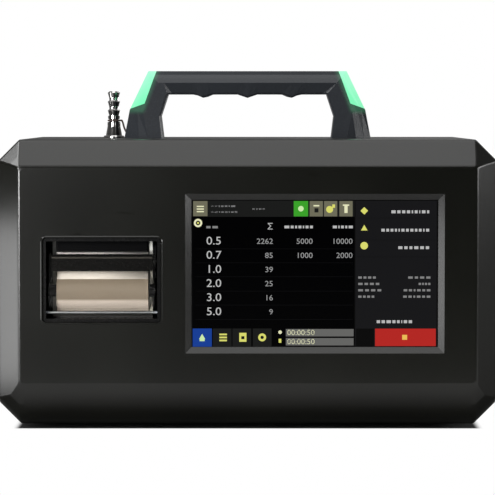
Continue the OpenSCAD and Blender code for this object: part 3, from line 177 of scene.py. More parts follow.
class Nodes:  # a node tree and the few ways nodes are added to it
    def __init__(self, tree):
        self.tree = tree

    def node(self, kind, settings=None, inputs=None, output=0):
        added = self.tree.nodes.new(kind)
        for key, value in (settings or {}).items():
            setattr(added, key, value)
        for key, value in (inputs or {}).items():
            self.plug(added.inputs[key], value)
        return Signal(self, added.outputs[output])

    def plug(self, socket, value):
        if isinstance(value, Signal):
            self.tree.links.new(value.socket, socket)
        else:
            socket.default_value = value

    def place(self, stretch=(1, 1, 1)):
        point = self.node("ShaderNodeTexCoord", output="Object")
        return self.node("ShaderNodeMapping", None, {"Vector": point, "Scale": stretch})

    def axis(self, letter):
        point = self.node("ShaderNodeTexCoord", output="Object")
        return self.node("ShaderNodeSeparateXYZ", None, {0: point}, "XYZ".index(letter))

    def noise(self, scale, detail, stretch=(1, 1, 1), roughness=.5):
        return self.node("ShaderNodeTexNoise", None, {
            "Vector": self.place(stretch), "Scale": scale, "Detail": detail, "Roughness": roughness})

    def cells(self, scale, stretch=(1, 1, 1), feature="F1"):
        return self.node("ShaderNodeTexVoronoi", {"feature": feature}, {"Vector": self.place(stretch), "Scale": scale})

    def band(self, value, low, high):  # 0 below low, 1 above high, soft between
        return self.node("ShaderNodeMapRange", {"interpolation_type": "SMOOTHSTEP"}, {
            "Value": value, "From Min": low, "From Max": high})

    def rise(self, letter, low, high):  # the same along an axis, in millimetres
        return self.band(self.axis(letter), low * mm, high * mm)

    def mix(self, factor, first, second):
        return self.node("ShaderNodeMix", {"data_type": "RGBA"}, {0: factor, 6: first, 7: second}, 2)

    def tint(self, colour, amount):  # a colour scaled by a value
        return self.node("ShaderNodeVectorMath", {"operation": "SCALE"}, {0: colour, "Scale": amount})

    def size(self, value):  # a value without its sign
        return self.node("ShaderNodeMath", {"operation": "ABSOLUTE"}, {0: value})

    def wave(self, value, pitch):  # a sine wave, its pitch in millimetres
        return self.node("ShaderNodeMath", {"operation": "SINE"}, {0: value * (2 * math.pi / (pitch * mm))})

    def larger(self, first, second):
        return self.node("ShaderNodeMath", {"operation": "MAXIMUM"}, {0: first, 1: second})


class Finish(Nodes):  # one Principled material
    def __init__(self, name, sockets):
        self.material = bpy.data.materials.new(name)
        self.material.use_nodes = True
        super().__init__(self.material.node_tree)
        self.shader = self.tree.nodes["Principled BSDF"]
        for key, value in sockets.items():
            self.feed(key, value)

    def feed(self, key, value):
        self.plug(self.shader.inputs[key], value)

    def bump(self, height, depth, strength, normal=None):
        ways = {"Height": height, "Distance": depth, "Strength": strength}
        if normal:
            ways["Normal"] = normal
        self.feed("Normal", self.node("ShaderNodeBump", None, ways))


def rgb(red, green, blue):
    return (red, green, blue, 1)


# finishes of moulded plastic and rubber; grain is a noise scale and relief its depth in metres
mouldings = {
    "casePlastic": {
        "dark": rgb(.0016, .0017, .0011), "light": rgb(.0030, .0031, .0021),
        "rough": .215, "specular": .36, "grain": 1600, "relief": .000014,
        "chin": True,  # smooth round its chin
    },
    "shellPlastic": {
        "dark": rgb(.0060, .0062, .0060), "light": rgb(.0100, .0104, .0100),
        "rough": .42, "specular": .4, "grain": 1400, "relief": .000010,
    },
    "handlePlastic": {
        "dark": rgb(.011, .012, .014), "light": rgb(.017, .019, .022),
        "rough": .25, "specular": .20, "grain": 1900, "relief": .000015,
        "glow": True,  # the light strips shine on it
    },
    "glossBlack": {
        "dark": rgb(.0012, .0012, .0012), "light": rgb(.0025, .0024, .0023),
        "rough": .26, "specular": .16, "grain": 900, "relief": .000015,
    },
    "barPlastic": {
        "dark": rgb(.0012, .0012, .0012), "light": rgb(.0025, .0024, .0023),
        "rough": .26, "specular": .09, "grain": 900, "relief": .000015,
        "line": (108.9, 109.6), "lineColour": rgb(.055, .053, .048),  # a painted highlight line along its front
    },
    "innerBlack": {
        "dark": rgb(.005, .005, .0055), "light": rgb(.009, .009, .0095),
        "rough": .45, "specular": .2, "grain": 1200,
    },
    "footRubber": {
        "dark": rgb(.010, .010, .010), "light": rgb(.020, .020, .019),
        "rough": .8, "specular": .3, "grain": 1100,
    },
    "sealRubber": {
        "dark": rgb(.014, .014, .014), "light": rgb(.024, .024, .024),
        "rough": .72, "specular": .3, "grain": 1500,
    },
    "capRubber": {
        "dark": rgb(.020, .021, .022), "light": rgb(.034, .035, .037),
        "rough": .62, "specular": .35, "grain": 1300,
    },
    "platenRubber": {
        "dark": rgb(.022, .022, .022), "light": rgb(.040, .040, .040),
        "rough": .7, "specular": .3, "grain": 2400,
    },
    "batteryCase": {
        "dark": rgb(.050, .054, .060), "light": rgb(.075, .080, .088),
        "rough": .5, "specular": .4, "grain": 1300,
    },
    "palePlastic": {
        "dark": rgb(.42, .42, .385), "light": rgb(.56, .56, .52),
        "rough": .42, "specular": .45, "grain": 1500,
        "paintedShadeTo": (73.7, 74),  # the floor of the roll cradle is painted black, as shade under the paper roll
    },
    "filterWhite": {
        "dark": rgb(.62, .62, .59), "light": rgb(.76, .76, .73),
        "rough": .45, "specular": .45, "grain": 1200,
    },
    "rockerPlastic": {
        "dark": rgb(.008, .008, .009), "light": rgb(.015, .015, .016),
        "rough": .3, "specular": .5, "grain": 1500,
    },
}
wear = {  # the same on all of them
    "drift": 9, "scuff": 60, "scuffRun": (1, 1, 5), "scuffFrom": .66, "scuffTo": .78,
    "roughSpeck": .14, "roughDrift": .06, "roughScuff": .05, "relief": .00005, "strength": .55, "scuffRelief": .15,
}
paintedHighlightSoft = .2  # the soft edge of the painted highlight line, in millimetres


# the chin under the front face is part of an ellipse, whose half sizes and centre are these
chinSet = {"centreY": -79, "centreZ": 51.5, "halfY": 28.69, "halfZ": 48.5, "top": 31, "end": 140, "soft": .1}


def chinNormal(finish):  # the case's own normals, made smooth round its chin
    point = finish.node("ShaderNodeTexCoord", output="Object")
    fromCentre = finish.node("ShaderNodeVectorMath", {"operation": "SUBTRACT"}, {
        0: point, 1: mmPoint(0, chinSet["centreY"], chinSet["centreZ"])})
    leaning = finish.node("ShaderNodeVectorMath", {"operation": "MULTIPLY"}, {
        0: fromCentre, 1: Vector((0, chinSet["halfY"] ** -2, chinSet["halfZ"] ** -2)) / mm})
    rolled = finish.node("ShaderNodeVectorMath", {"operation": "NORMALIZE"}, {0: leaning})
    soft = chinSet["soft"]
    below = 1 - finish.rise("Z", chinSet["top"] - 2 * soft, chinSet["top"])
    ahead = 1 - finish.rise("Y", chinSet["centreY"] - soft, chinSet["centreY"])
    within = 1 - finish.band(finish.size(finish.axis("X")), chinSet["end"] * mm, (chinSet["end"] + soft) * mm)
    own = finish.node("ShaderNodeNewGeometry", output="Normal")
    return finish.node("ShaderNodeMix", {"data_type": "VECTOR"}, {0: below * ahead * within, 4: own, 5: rolled}, 1)


# light that the strips spill onto the handle; low and high are the ends of a strip's inner edge
glowSet = {
    "low": (67.6, 205.2), "high": (60.4, 224.8), "reach": 4.5,
    "from": 198, "to": 202, "colour": (.010, .085, .035),
}


def spilledLight(finish):
    run = (Vector(glowSet["high"]) - Vector(glowSet["low"])).normalized()
    startX, startZ = glowSet["low"]
    aside = finish.size(finish.axis("X"))
    across = (aside - startX * mm) * run.y - (finish.axis("Z") - startZ * mm) * run.x
    near = finish.band(across, -glowSet["reach"] * mm, 0)
    above = finish.rise("Z", glowSet["from"], glowSet["to"])
    return finish.tint(glowSet["colour"], near * near * above)


def moulded(name):
    look = mouldings[name]
    finish = Finish(name, {"Specular IOR Level": look["specular"]})
    drift = finish.noise(wear["drift"], 2)
    speck = finish.noise(look["grain"], 2, roughness=.6)
    scuff = finish.band(finish.noise(wear["scuff"], 4, wear["scuffRun"]), wear["scuffFrom"], wear["scuffTo"])
    blotch = finish.band(drift * .55 + speck * .45, .35, .65)
    colour = finish.mix(blotch, look["dark"], look["light"])
    # the cradle's floor is painted black, as shade under the paper roll
    if "paintedShadeTo" in look:
        pale = finish.rise("Z", *look["paintedShadeTo"])
        colour = finish.mix(pale, mouldings["innerBlack"]["dark"], colour)
    # a painted highlight line along the bar's front
    if "line" in look:
        low, high = look["line"]
        line = finish.rise("Z", low - paintedHighlightSoft, low) * (1 - finish.rise("Z", high, high + paintedHighlightSoft))
        colour = finish.mix(line, colour, look["lineColour"])
    finish.feed("Base Color", colour)
    finish.feed("Roughness", look["rough"] + (speck - .5) * wear["roughSpeck"] + (drift - .5) * wear["roughDrift"]
                - scuff * wear["roughScuff"])
    normal = chinNormal(finish) if "chin" in look else None
    finish.bump(speck + scuff * wear["scuffRelief"], look.get("relief", wear["relief"]), wear["strength"], normal)
    if "glow" in look:
        finish.feed("Emission Color", spilledLight(finish))
        finish.feed("Emission Strength", 1.0)
    return finish


finishes = {name: moulded(name) for name in mouldings}
print("plastics mixed")

# finishes of metal; along stretches the lines of its grain and depth is in metres
metals = {
    "polishedSteel": {
        "dark": rgb(.30, .295, .29), "light": rgb(.56, .55, .54),
        "rough": .09, "spread": .06, "lines": 900, "along": (.15, .15, 6), "depth": .000004,
    },
    "brightSteel": {
        "dark": rgb(.42, .42, .42), "light": rgb(.62, .62, .61),
        "rough": .28, "spread": .14, "lines": 700, "along": (.2, 5, 5), "depth": .000010,
    },
    "plateAluminium": {
        "dark": rgb(.50, .51, .53), "light": rgb(.66, .67, .69),
        "rough": .36, "spread": .16, "lines": 600, "along": (.15, 4, 4), "depth": .000012,
    },
    "beadBlasted": {
        "dark": rgb(.21, .23, .25), "light": rgb(.31, .33, .36),
        "rough": .5, "spread": .12, "lines": 2200, "along": (1, 1, 1), "depth": .00002,
    },
    "turnedBrass": {
        "dark": rgb(.52, .36, .13), "light": rgb(.76, .57, .26),
        "rough": .24, "spread": .12, "lines": 1200, "along": (1, 6, 1), "depth": .000008,
    },
    "zincPlate": {
        "dark": rgb(.34, .34, .33), "light": rgb(.52, .52, .50),
        "rough": .38, "spread": .16, "lines": 260, "along": (1, 1, 1), "depth": .00001,
    },
}
stainScale = 45  # all the metals stain alike


def metal(name):
    look = metals[name]
    finish = Finish(name, {"Metallic": 1.0})
    line = finish.noise(look["lines"], 2, look["along"], .6)
    stain = finish.noise(stainScale, 3)
    shade = finish.band(line * .6 + stain * .4, .34, .66)
    finish.feed("Base Color", finish.mix(shade, look["dark"], look["light"]))
    finish.feed("Roughness", look["rough"] + (line - .5) * look["spread"] + (stain - .5) * look["spread"] * .7)
    finish.bump(line, look["depth"], .6)
    return finish


finishes.update({name: metal(name) for name in metals})

bladeSet = {
    "bevel": (-98.6, -98.2),  # ahead of here it is ground bright
    "ground": rgb(.065, .065, .063), "oxide": rgb(.0015, .0015, .0017),
    "lines": 900, "along": (6, .3, 1), "rough": .36, "smoother": .08,
}
blade = Finish("groundBlade", {"Metallic": .8, "Specular IOR Level": .15})
grind = blade.noise(bladeSet["lines"], 2, bladeSet["along"])
bevelShare = 1 - blade.rise("Y", *bladeSet["bevel"])
blade.feed("Base Color", blade.mix(bevelShare * (.75 + grind * .3), bladeSet["oxide"], bladeSet["ground"]))
blade.feed("Roughness", bladeSet["rough"] - bevelShare * bladeSet["smoother"] + (grind - .5) * .2)
blade.bump(grind, .00001, .5)
finishes["groundBlade"] = blade
print("metals brushed")

# glass, lens, door, paper, hose, board and cord
glassSet = {
    "colour": rgb(.0018, .0018, .0021), "rough": .06, "smear": 38, "smearRough": .10,
    "dust": rgb(.03, .03, .03), "grain": 1900, "dustShare": .25,
}
touchGlass = Finish("touchGlass", {"Specular IOR Level": .45})
smear = touchGlass.band(touchGlass.noise(glassSet["smear"], 4, (1, 1, .6)), .45, .75)
dust = touchGlass.band(touchGlass.noise(glassSet["grain"], 1), .70, .76)
touchGlass.feed("Base Color", touchGlass.mix(dust * glassSet["dustShare"], glassSet["colour"], glassSet["dust"]))
touchGlass.feed("Roughness", glassSet["rough"] + smear * glassSet["smearRough"])
finishes["touchGlass"] = touchGlass

lensSet = {
    "core": rgb(.40, .90, .62), "rim": rgb(.12, .78, .36), "strength": 1.0, "base": rgb(.02, .10, .05),
    "centre": (6, 14.5), "rise": (200, 232),  # brightest at the middle of its depth and at its top
    "cloud": 110, "frost": 2600,
}
lightLens = Finish("lightLens", {"Base Color": lensSet["base"], "Emission Strength": lensSet["strength"],
                                 "Specular IOR Level": .3})
cloud = lightLens.noise(lensSet["cloud"], 3)
frost = lightLens.noise(lensSet["frost"], 1)
inside, outside = lensSet["centre"]
centre = 1 - lightLens.band(lightLens.size(lightLens.axis("Y")), inside * mm, outside * mm)
brighter = centre * .45 + lightLens.rise("Z", *lensSet["rise"]) * .45 + (cloud - .5) * .4
lightLens.feed("Emission Color", lightLens.mix(brighter, lensSet["rim"], lensSet["core"]))
lightLens.feed("Roughness", .32 + (frost - .5) * .2)
lightLens.bump(frost, .00004, .4)
finishes["lightLens"] = lightLens

paperSet = {
    "dark": rgb(.84, .79, .73), "light": rgb(.95, .91, .86), "rough": .5, "fibre": 1500, "along": (1, 2.5, 2.5),
}
paper = Finish("paper", {"Specular IOR Level": .35})
fibre = paper.noise(paperSet["fibre"], 4, paperSet["along"], .65)
wave = paper.noise(70, 2, (.15, 1, 1))
paper.feed("Base Color", paper.mix(paper.band(fibre * .5 + wave * .5, .3, .7), paperSet["dark"], paperSet["light"]))
paper.feed("Roughness", paperSet["rough"] + (fibre - .5) * .2)
paper.bump(fibre, .00002, .5)
finishes["paper"] = paper

# the roll's paper is painted much darker than the strip's same paper, as shade on the roll
rollSet = {
    "axisY": -80, "axisZ": 88, "dark": rgb(.25, .205, .155), "light": rgb(.33, .28, .225),
    "pitch": .28, "turns": (15.5, 15.8),  # the end faces show the turns of the strip
    "under": rgb(.86, .77, .71), "paintedLightShare": .8, "paintedLightTo": (81.4, 83.4),  # painted paler up to here, as light reflected from below
}
rollPaper = Finish("rollPaper", {"Specular IOR Level": .35})
fromAxisY = rollPaper.axis("Y") - rollSet["axisY"] * mm
fromAxisZ = rollPaper.axis("Z") - rollSet["axisZ"] * mm
radius = rollPaper.node("ShaderNodeMath", {"operation": "SQRT"}, {0: fromAxisY * fromAxisY + fromAxisZ * fromAxisZ})
turns = rollPaper.wave(radius, rollSet["pitch"]) * .5 + .5
fibre = rollPaper.noise(paperSet["fibre"], 4, paperSet["along"], .65)
inside, outside = rollSet["turns"]
inner = 1 - rollPaper.band(radius, inside * mm, outside * mm)
shade = rollPaper.band(fibre, .3, .7) * .6 + turns * inner * .4
# the roll's lower part is painted paler, as light reflected from below
paintedLowLight = 1 - rollPaper.rise("Z", *rollSet["paintedLightTo"])
upper = rollPaper.mix(shade, rollSet["dark"], rollSet["light"])
rollPaper.feed("Base Color", rollPaper.mix(paintedLowLight * rollSet["paintedLightShare"], upper, rollSet["under"]))
rollPaper.feed("Roughness", paperSet["rough"] + (fibre - .5) * .2)
rollPaper.bump(fibre * .3 + turns * inner, .00003, .6)
finishes["rollPaper"] = rollPaper

hoseSet = {"dark": rgb(.52, .50, .44), "light": rgb(.66, .64, .58), "swirl": 160, "rough": .26}
hose = Finish("hose", {"Specular IOR Level": .5})
swirl = hose.noise(hoseSet["swirl"], 3)
hose.feed("Base Color", hose.mix(hose.band(swirl, .3, .7), hoseSet["dark"], hoseSet["light"]))
hose.feed("Roughness", hoseSet["rough"] + (swirl - .5) * .16)
finishes["hose"] = hose

boardSet = {
    "mask": rgb(.012, .085, .035), "trace": rgb(.020, .135, .055), "pad": rgb(.62, .50, .22),
    "lanes": 420, "holes": 294, "rough": .38, "padRough": .12, "padMetal": .9,
}
board = Finish("board", {"Specular IOR Level": .5})
lanes = board.cells(boardSet["lanes"], (1, 1, .4), "DISTANCE_TO_EDGE")
holes = board.cells(boardSet["holes"])
trace = board.band(lanes, .05, .12)
pad = 1 - board.band(holes, .10, .16)
board.feed("Base Color", board.mix(pad, board.mix(trace, boardSet["trace"], boardSet["mask"]), boardSet["pad"]))
board.feed("Roughness", boardSet["rough"] - pad * boardSet["padRough"])
board.feed("Metallic", pad * boardSet["padMetal"])
board.bump(1 - trace, .00003, .5)
finishes["board"] = board

cordSet = {"dark": rgb(.016, .010, .009), "light": rgb(.075, .045, .038), "strand": 2100, "rough": .6}
braid = Finish("braid", {"Specular IOR Level": .3})
strand = braid.cells(cordSet["strand"], (1, .6, 1))
braid.feed("Base Color", braid.mix(braid.band(strand, .1, .6), cordSet["light"], cordSet["dark"]))
braid.feed("Roughness", cordSet["rough"] + strand * .2)
braid.bump(1 - strand, .00008, .8)
finishes["braid"] = braid


def clearMoulding(name, look):
    finish = Finish(name, {"Base Color": rgb(0, 0, 0)})
    haze = finish.band(finish.noise(look["haze"], 3), .5, .8) * look["hazeGloss"]
    clear = finish.node("ShaderNodeBsdfTransparent", None, {"Color": look["tint"]})
    gloss = finish.node("ShaderNodeBsdfGlossy", None, {"Color": rgb(1, 1, 1), "Roughness": look["rough"]})
    skin = finish.node("ShaderNodeFresnel", None, {"IOR": look["ior"]}) + haze
    # no reflection on the hinge barrel, as painted shade
    share = skin * finish.rise("Z", *look["hingeShadeTo"])
    mixed = finish.node("ShaderNodeMixShader", None, {0: share, 1: clear, 2: gloss})
    output = finish.tree.nodes["Material Output"]
    finish.tree.nodes.remove(finish.shader)
    finish.plug(output.inputs["Surface"], mixed)
    return finish


doorSet = {
    "tint": rgb(.90, .89, .87), "rough": .05, "ior": 1.5, "haze": 30, "hazeGloss": .01,
    "hingeShadeTo": (77.5, 79.5),  # its hinge barrel shows no reflection, as painted shade
}
finishes["doorClear"] = clearMoulding("doorClear", doorSet)
print("other finishes made")

# a finish for each piece of the frame
finishOf = {
    "casePlastic": ["front_housing"],
    "shellPlastic": ["case_shell", "rear_panel", "battery_door"],
    "handlePlastic": ["handle_frame"],
    "lightLens": ["status_light_left", "status_light_right"],
    "sealRubber": ["split_gasket"],
    "footRubber": ["base_feet"],
    "capRubber": ["inlet_cap"],
    "braid": ["tether_ring", "cap_tether"],
    "polishedSteel": ["inlet_nozzle"],
    "brightSteel": ["inlet_nut", "inlet_tube", "exhaust_fitting", "display_module", "case_screws", "handle_screws",
                    "fan_guard", "battery_latch", "port_sockets"],
    "groundBlade": ["tear_bar"],
    "plateAluminium": ["chassis_plate", "display_bracket"],
    "beadBlasted": ["sensor_block", "laser_housing", "hinge_pins"],
    "turnedBrass": ["sensor_posts", "board_standoffs"],
    "zincPlate": ["pump_motor"],
    "touchGlass": ["touch_panel"],
    "board": ["main_board", "io_board", "detector_board"],
    "glossBlack": ["printer_frame", "thermal_head"],
    "barPlastic": ["platen_bar"],
    "innerBlack": ["light_trap", "pump_body", "paper_spindle", "battery_tray", "fan_frame", "fan_rotor",
                   "switch_body", "dc_socket", "speaker", "platen_gear", "idler_gear", "printer_motor", "motor_pinion"],
    "rockerPlastic": ["power_rocker"],
    "palePlastic": ["roll_cradle"],
    "platenRubber": ["platen_roller"],
    "hose": ["vacuum_hose", "exhaust_hose"],
    "filterWhite": ["exhaust_filter"],
    "batteryCase": ["battery_pack"],
    "rollPaper": ["paper_roll"],
    "doorClear": ["printer_door"],
}
for finishName, members in finishOf.items():
    for member in members:
        for slot in nodes[member].material_slots:
            slot.material = finishes[finishName].material
capTether.data.materials.append(finishes["braid"].material)
bare = sorted(set(nodes) - {member for members in finishOf.values() for member in members})
print("finishes assigned, without one:", bare)

# paper strip from the roll to the tear bar
strip = {
    "x": -91,
    "width": 57.2,
    "thickness": .08,
    "line": [
        (-94.20, 95.52), (-93.25, 97.30), (-92.30, 99.10), (-91.55, 100.60), (-91.30, 101.70), (-91.16, 104.0),
        (-91.14, 106.5), (-91.14, 109.5), (-91.16, 111.0), (-91.34, 111.8), (-91.80, 112.24), (-92.60, 112.36),
        (-95.0, 112.38), (-97.2, 112.38),
    ],
}
bm = bmesh.new()
leftX = strip["x"] - strip["width"] / 2
line = [bm.verts.new(mmPoint(leftX, y, z)) for y, z in strip["line"]]
edges = [bm.edges.new(pair) for pair in zip(line, line[1:])]
swept = bmesh.ops.extrude_edge_only(bm, edges=edges)
bmesh.ops.translate(bm, verts=[v for v in swept["geom"] if isinstance(v, bmesh.types.BMVert)],
                    vec=mmPoint(strip["width"], 0, 0))
bmesh.ops.recalc_face_normals(bm, faces=bm.faces)
bmesh.ops.solidify(bm, geom=bm.faces[:], thickness=strip["thickness"] * mm)
bmesh.ops.recalc_face_normals(bm, faces=bm.faces)
meshPiece("paperStrip", bm, "case", finishes["paper"])
print("paper strip threaded")

# picture on the display
display = {
    "left": -35, "top": 145.5,
    "y": -102.03,  # just proud of the touch panel's face
    "step": .012,  # what lies on top stands this much further out
}
ink = {
    "black": (.0006, .0006, .0008), "panel": (.0095, .0095, .0105), "bar": (.0115, .0120, .0115),
    "line": (.0065, .0065, .007), "dim": (.0035, .0035, .0035), "grey": (.135, .135, .13),
    "white": (.50, .50, .50), "soft": (.23, .23, .23), "faint": (.31, .31, .31),
    "khaki": (.16, .155, .105), "pale": (.80, .80, .52), "yellow": (.72, .72, .16),
    "green": (.045, .36, .025), "mint": (.60, .85, .42), "blue": (.010, .050, .30),
    "red": (.46, .022, .018), "orange": (.85, .52, .10),
}
writing = {
    "textScale": 1.38,  # a digit's height to its font size
    "curve": 4,  # steps along a letter's curves
    "wordGap": .45,  # between the strokes of a word
    "strokeHalf": .32,  # half a stroke's height, of the word's
}
px = .622  # millimetres for one step of the layout
pictureMesh = bmesh.new()
inkLayer = pictureMesh.loops.layers.float_color.new("ink")


def layoutPoint(column, row, level):
    return mmPoint(display["left"] + column * px, display["y"] - level * display["step"], display["top"] - row * px)


def paintFaces(faces, colour):
    for face in faces:
        for loop in face.loops:
            loop[inkLayer] = (*ink[colour], 1)


def block(column0, row0, column1, row1, colour, level):
    middle = layoutPoint((column0 + column1) / 2, (row0 + row1) / 2, level)
    turn = Matrix.Rotation(math.pi / 2, 4, "X")
    size = Matrix.Diagonal(((column1 - column0) * px * mm, (row1 - row0) * px * mm, 1, 1))
    grid = bmesh.ops.create_grid(pictureMesh, x_segments=1, y_segments=1, size=.5,
                                 matrix=Matrix.Translation(middle) @ turn @ size)
    paintFaces({face for vert in grid["verts"] for face in vert.link_faces}, colour)


def disc(column, row, size, colour, level, sides=20):
    turn = Matrix.Rotation(math.pi / 2, 4, "X")
    circle = bmesh.ops.create_circle(pictureMesh, cap_ends=True, segments=sides, radius=size * px * mm / 2,
                                     matrix=Matrix.Translation(layoutPoint(column, row, level)) @ turn)
    paintFaces({face for vert in circle["verts"] for face in vert.link_faces}, colour)


def number(text, column, row, height, colour, align="LEFT", wide=1.0):
    data = bpy.data.curves.new("number", "FONT")
    data.body = text
    data.align_x = align
    data.align_y = "CENTER"
    data.size = height * px * mm * writing["textScale"]
    data.resolution_u = writing["curve"]
    digits = bpy.data.objects.new("number", data)
    mesh = bpy.data.meshes.new_from_object(digits)
    place = Matrix.Translation(layoutPoint(column, row, 3)) @ Matrix.Rotation(math.pi / 2, 4, "X")
    mesh.transform(place @ Matrix.Diagonal((wide, 1, 1, 1)))
    before = set(pictureMesh.faces)
    pictureMesh.from_mesh(mesh)
    paintFaces(set(pictureMesh.faces) - before, colour)
    bpy.data.objects.remove(digits)
    bpy.data.curves.remove(data)
    bpy.data.meshes.remove(mesh)


def word(column0, column1, row, height, pieces, colour="soft"):  # a word stands as a row of short strokes
    gap, half = writing["wordGap"], height * writing["strokeHalf"]
    unit = (column1 - column0) / (sum(pieces) + gap * (len(pieces) - 1))
    start = column0
    for share in pieces:
        block(start, row - half, start + share * unit, row + half, colour, 2)
        start += (share + gap) * unit


# layout steps are counted from the picture's top left corner
block(.3, .3, 247.2, 147.6, "dim", 0)
block(1, 1, 163.5, 147, "black", 1)
block(16.5, 1, 163.5, 17, "bar", 2)
block(164.5, 1, 246, 147, "panel", 1)
for row in (18, 40, 57):
    block(165.5, row, 245, row + .5, "line", 2)
for row in (49, 63, 77, 91.5, 105.5, 120):
    block(4, row, 162, row + .35, "line", 2)
print("picture ground laid")

block(1.8, 1.2, 16.2, 16.4, "khaki", 3)
for row in (6, 8.6, 11.2):
    block(5.4, row, 12.6, row + 1.2, "pale", 4)
word(19.7, 44, 6.4, 2.6, (1, 1, .5, 1, 1, .5, 1.6))
word(19.7, 46, 12.2, 2.6, (1, 1.2, .5, 1, 1, .5, 1, 1))
word(61, 73.5, 9.2, 2.0, (1, .6, 1, .8))
block(102.6, 1.2, 117, 16.6, "green", 3)
disc(109.8, 8.9, 5.6, "mint", 4)
for column in (118.6, 133.0, 148.4):
    block(column, 1.2, column + 13.2, 16.6, "khaki", 3)
block(122.4, 5.2, 128.2, 6.6, "pale", 4)
block(123.4, 8.4, 127.4, 12.6, "bar", 4)
disc(138.6, 9.6, 7, "yellow", 4)
block(141.2, 4.6, 144, 8, "yellow", 4)
block(153.4, 4.6, 156.6, 13.2, "pale", 4)
block(151.8, 4.6, 158.2, 6, "pale", 4)
disc(6.7, 23.2, 8.4, "pale", 2, 28)
disc(6.7, 23.2, 4.6, "black", 3, 28)
disc(6.7, 23.2, 2.0, "yellow", 4, 16)

word(15, 26.5, 27.4, 3.6, (1, 1.3))
number("Σ", 82, 27, 6.4, "white", "RIGHT")
word(93.3, 121.8, 27.2, 4.2, (1.5, .9, .6, .9, .4, .9, .9), "white")
word(141.8, 161.8, 27.2, 4.2, (1.3, .4, .9, .6, 1.3), "white")
rows = [
    ("0.5", "2262", "5000", "10000"), ("0.7", "85", "1000", "2000"),
    ("1.0", "39", "", ""), ("2.0", "25", "", ""), ("3.0", "16", "", ""), ("5.0", "9", "", ""),
]
for index, (size, count, warn, alarm) in enumerate(rows):
    row = 41.4 + index * 14.2
    number(size, 14.8, row, 8.2, "white", wide=1.12)
    number(count, 82, row + .4, 5.6, "faint", "RIGHT", wide=1.08)
    if warn:
        number(warn, 121.8, row + .4, 5.6, "faint", "RIGHT", wide=1.08)
        number(alarm, 161.8, row + .4, 5.6, "faint", "RIGHT", wide=1.08)

block(1.2, 129.3, 20.4, 147.6, "blue", 3)
disc(10.7, 138.2, 7.2, "mint", 4, 3)
block(8.2, 138.8, 13.2, 142, "mint", 4)
for column in (21.4, 41.2, 61.6):
    block(column, 129.3, column + 18.8, 147.6, "bar", 3)
for row in (134.4, 137.4, 140.4):
    block(28, row, 35.6, row + 1.7, "yellow", 4)
block(48, 133.6, 55.2, 142.6, "yellow", 4)
block(50, 137, 53.2, 140, "bar", 4.5)
disc(71, 138.2, 8, "yellow", 4, 24)
disc(71, 138.2, 3.4, "bar", 4.5, 18)
disc(89, 133, 3.6, "pale", 3)
block(87.6, 139.6, 90.2, 143.6, "yellow", 3)
for row in (129.8, 138.9):
    block(94.8, row, 162.8, row + 7.4, "grey", 3)
    number("00:00:50", 96, row + 3.8, 5.6, "pale", wide=1.05)

for row, shape in ((11, 4), (28.8, 3), (46, 20)):
    disc(173.3, row, 7.6, "yellow", 3, shape)
word(200.5, 238.4, 12, 4.6, (1.2, .9, .9, .9, .4, .8, .3, 1, .6), "white")
word(190.5, 238.4, 30.4, 4.4, (1, .8, .8, .6, .4, .9, .8, .9, .7, .8, .4, .9), "white")
word(207.5, 238.4, 48, 4.4, (1, .8, .7, 1, .9, .8), "white")
for index, (leftEnd, rightStart) in enumerate(((185, 217.5), (188.5, 228), (190.5, 213), (183.5, 212.5))):
    row = 78 + index * 6.4
    word(167.4, leftEnd, row, 3.4, (1, .8, .9, .8))
    word(rightStart, 239.8, row, 3.4, (1, .9, .5, 1, .8, 1) if index > 1 else (1, .7, .9, .9))
word(186, 221.5, 122.4, 4.6, (1, 1, 1.3, .9, .8, .3, 1, 1), "white")
block(165.2, 129.3, 183.4, 147.2, "dim", 2)
block(184.4, 129.4, 245.4, 147, "red", 3)
block(211.6, 135.6, 216.6, 140.6, "orange", 4)

dotPitch = .19  # millimetres from one column of dots to the next
screenInk = Finish("screenInk", {
    "Base Color": rgb(0, 0, 0), "Roughness": .10, "Specular IOR Level": .08, "Emission Strength": 1.0})
inkColour = screenInk.node("ShaderNodeAttribute", {"attribute_name": "ink"})
acrossDots = screenInk.wave(screenInk.axis("X"), dotPitch)
screenInk.feed("Emission Color", screenInk.tint(inkColour, acrossDots * .06 + .97))
screenPicture = meshPiece("screenPicture", pictureMesh, "case", screenInk, smooth=False)
print("screen picture drawn,", len(screenPicture.data.polygons), "faces")

# floor, world and lamps
floorSet = {
    "half": 7, "pale": rgb(.82, .82, .82), "low": rgb(.07, .07, .07), "shade": rgb(.02, .02, .02),
    "shadeSide": (144, 150), "shadeFront": (-84, -78), "shadeRear": (95, 100),  # dark under the case
    # a pale strip lies ahead of the case, and its front mirrors it
    "stripFar": (-350, -290), "stripNear": (-130, -90), "stripSide": (500, 700), "stripPale": .72,
    "mirrorFrom": (300, 1000), "mirrored": .2,  # metal and glass see the pale floor from here back
}
floorPaper = Finish("floorPaper", {"Roughness": .9, "Specular IOR Level": .1})


def cameraRays(tree):
    return tree.node("ShaderNodeLightPath", output="Is Camera Ray")


def mirrorRays(tree):  # the rays that metal, gloss and glass send out
    glossy = tree.node("ShaderNodeLightPath", output="Is Glossy Ray")
    return glossy + tree.node("ShaderNodeLightPath", output="Is Transmission Ray")


def withinSides(tree, inside, outside):  # 1 inside, 0 outside, the same left and right
    return 1 - tree.band(tree.size(tree.axis("X")), inside * mm, outside * mm)


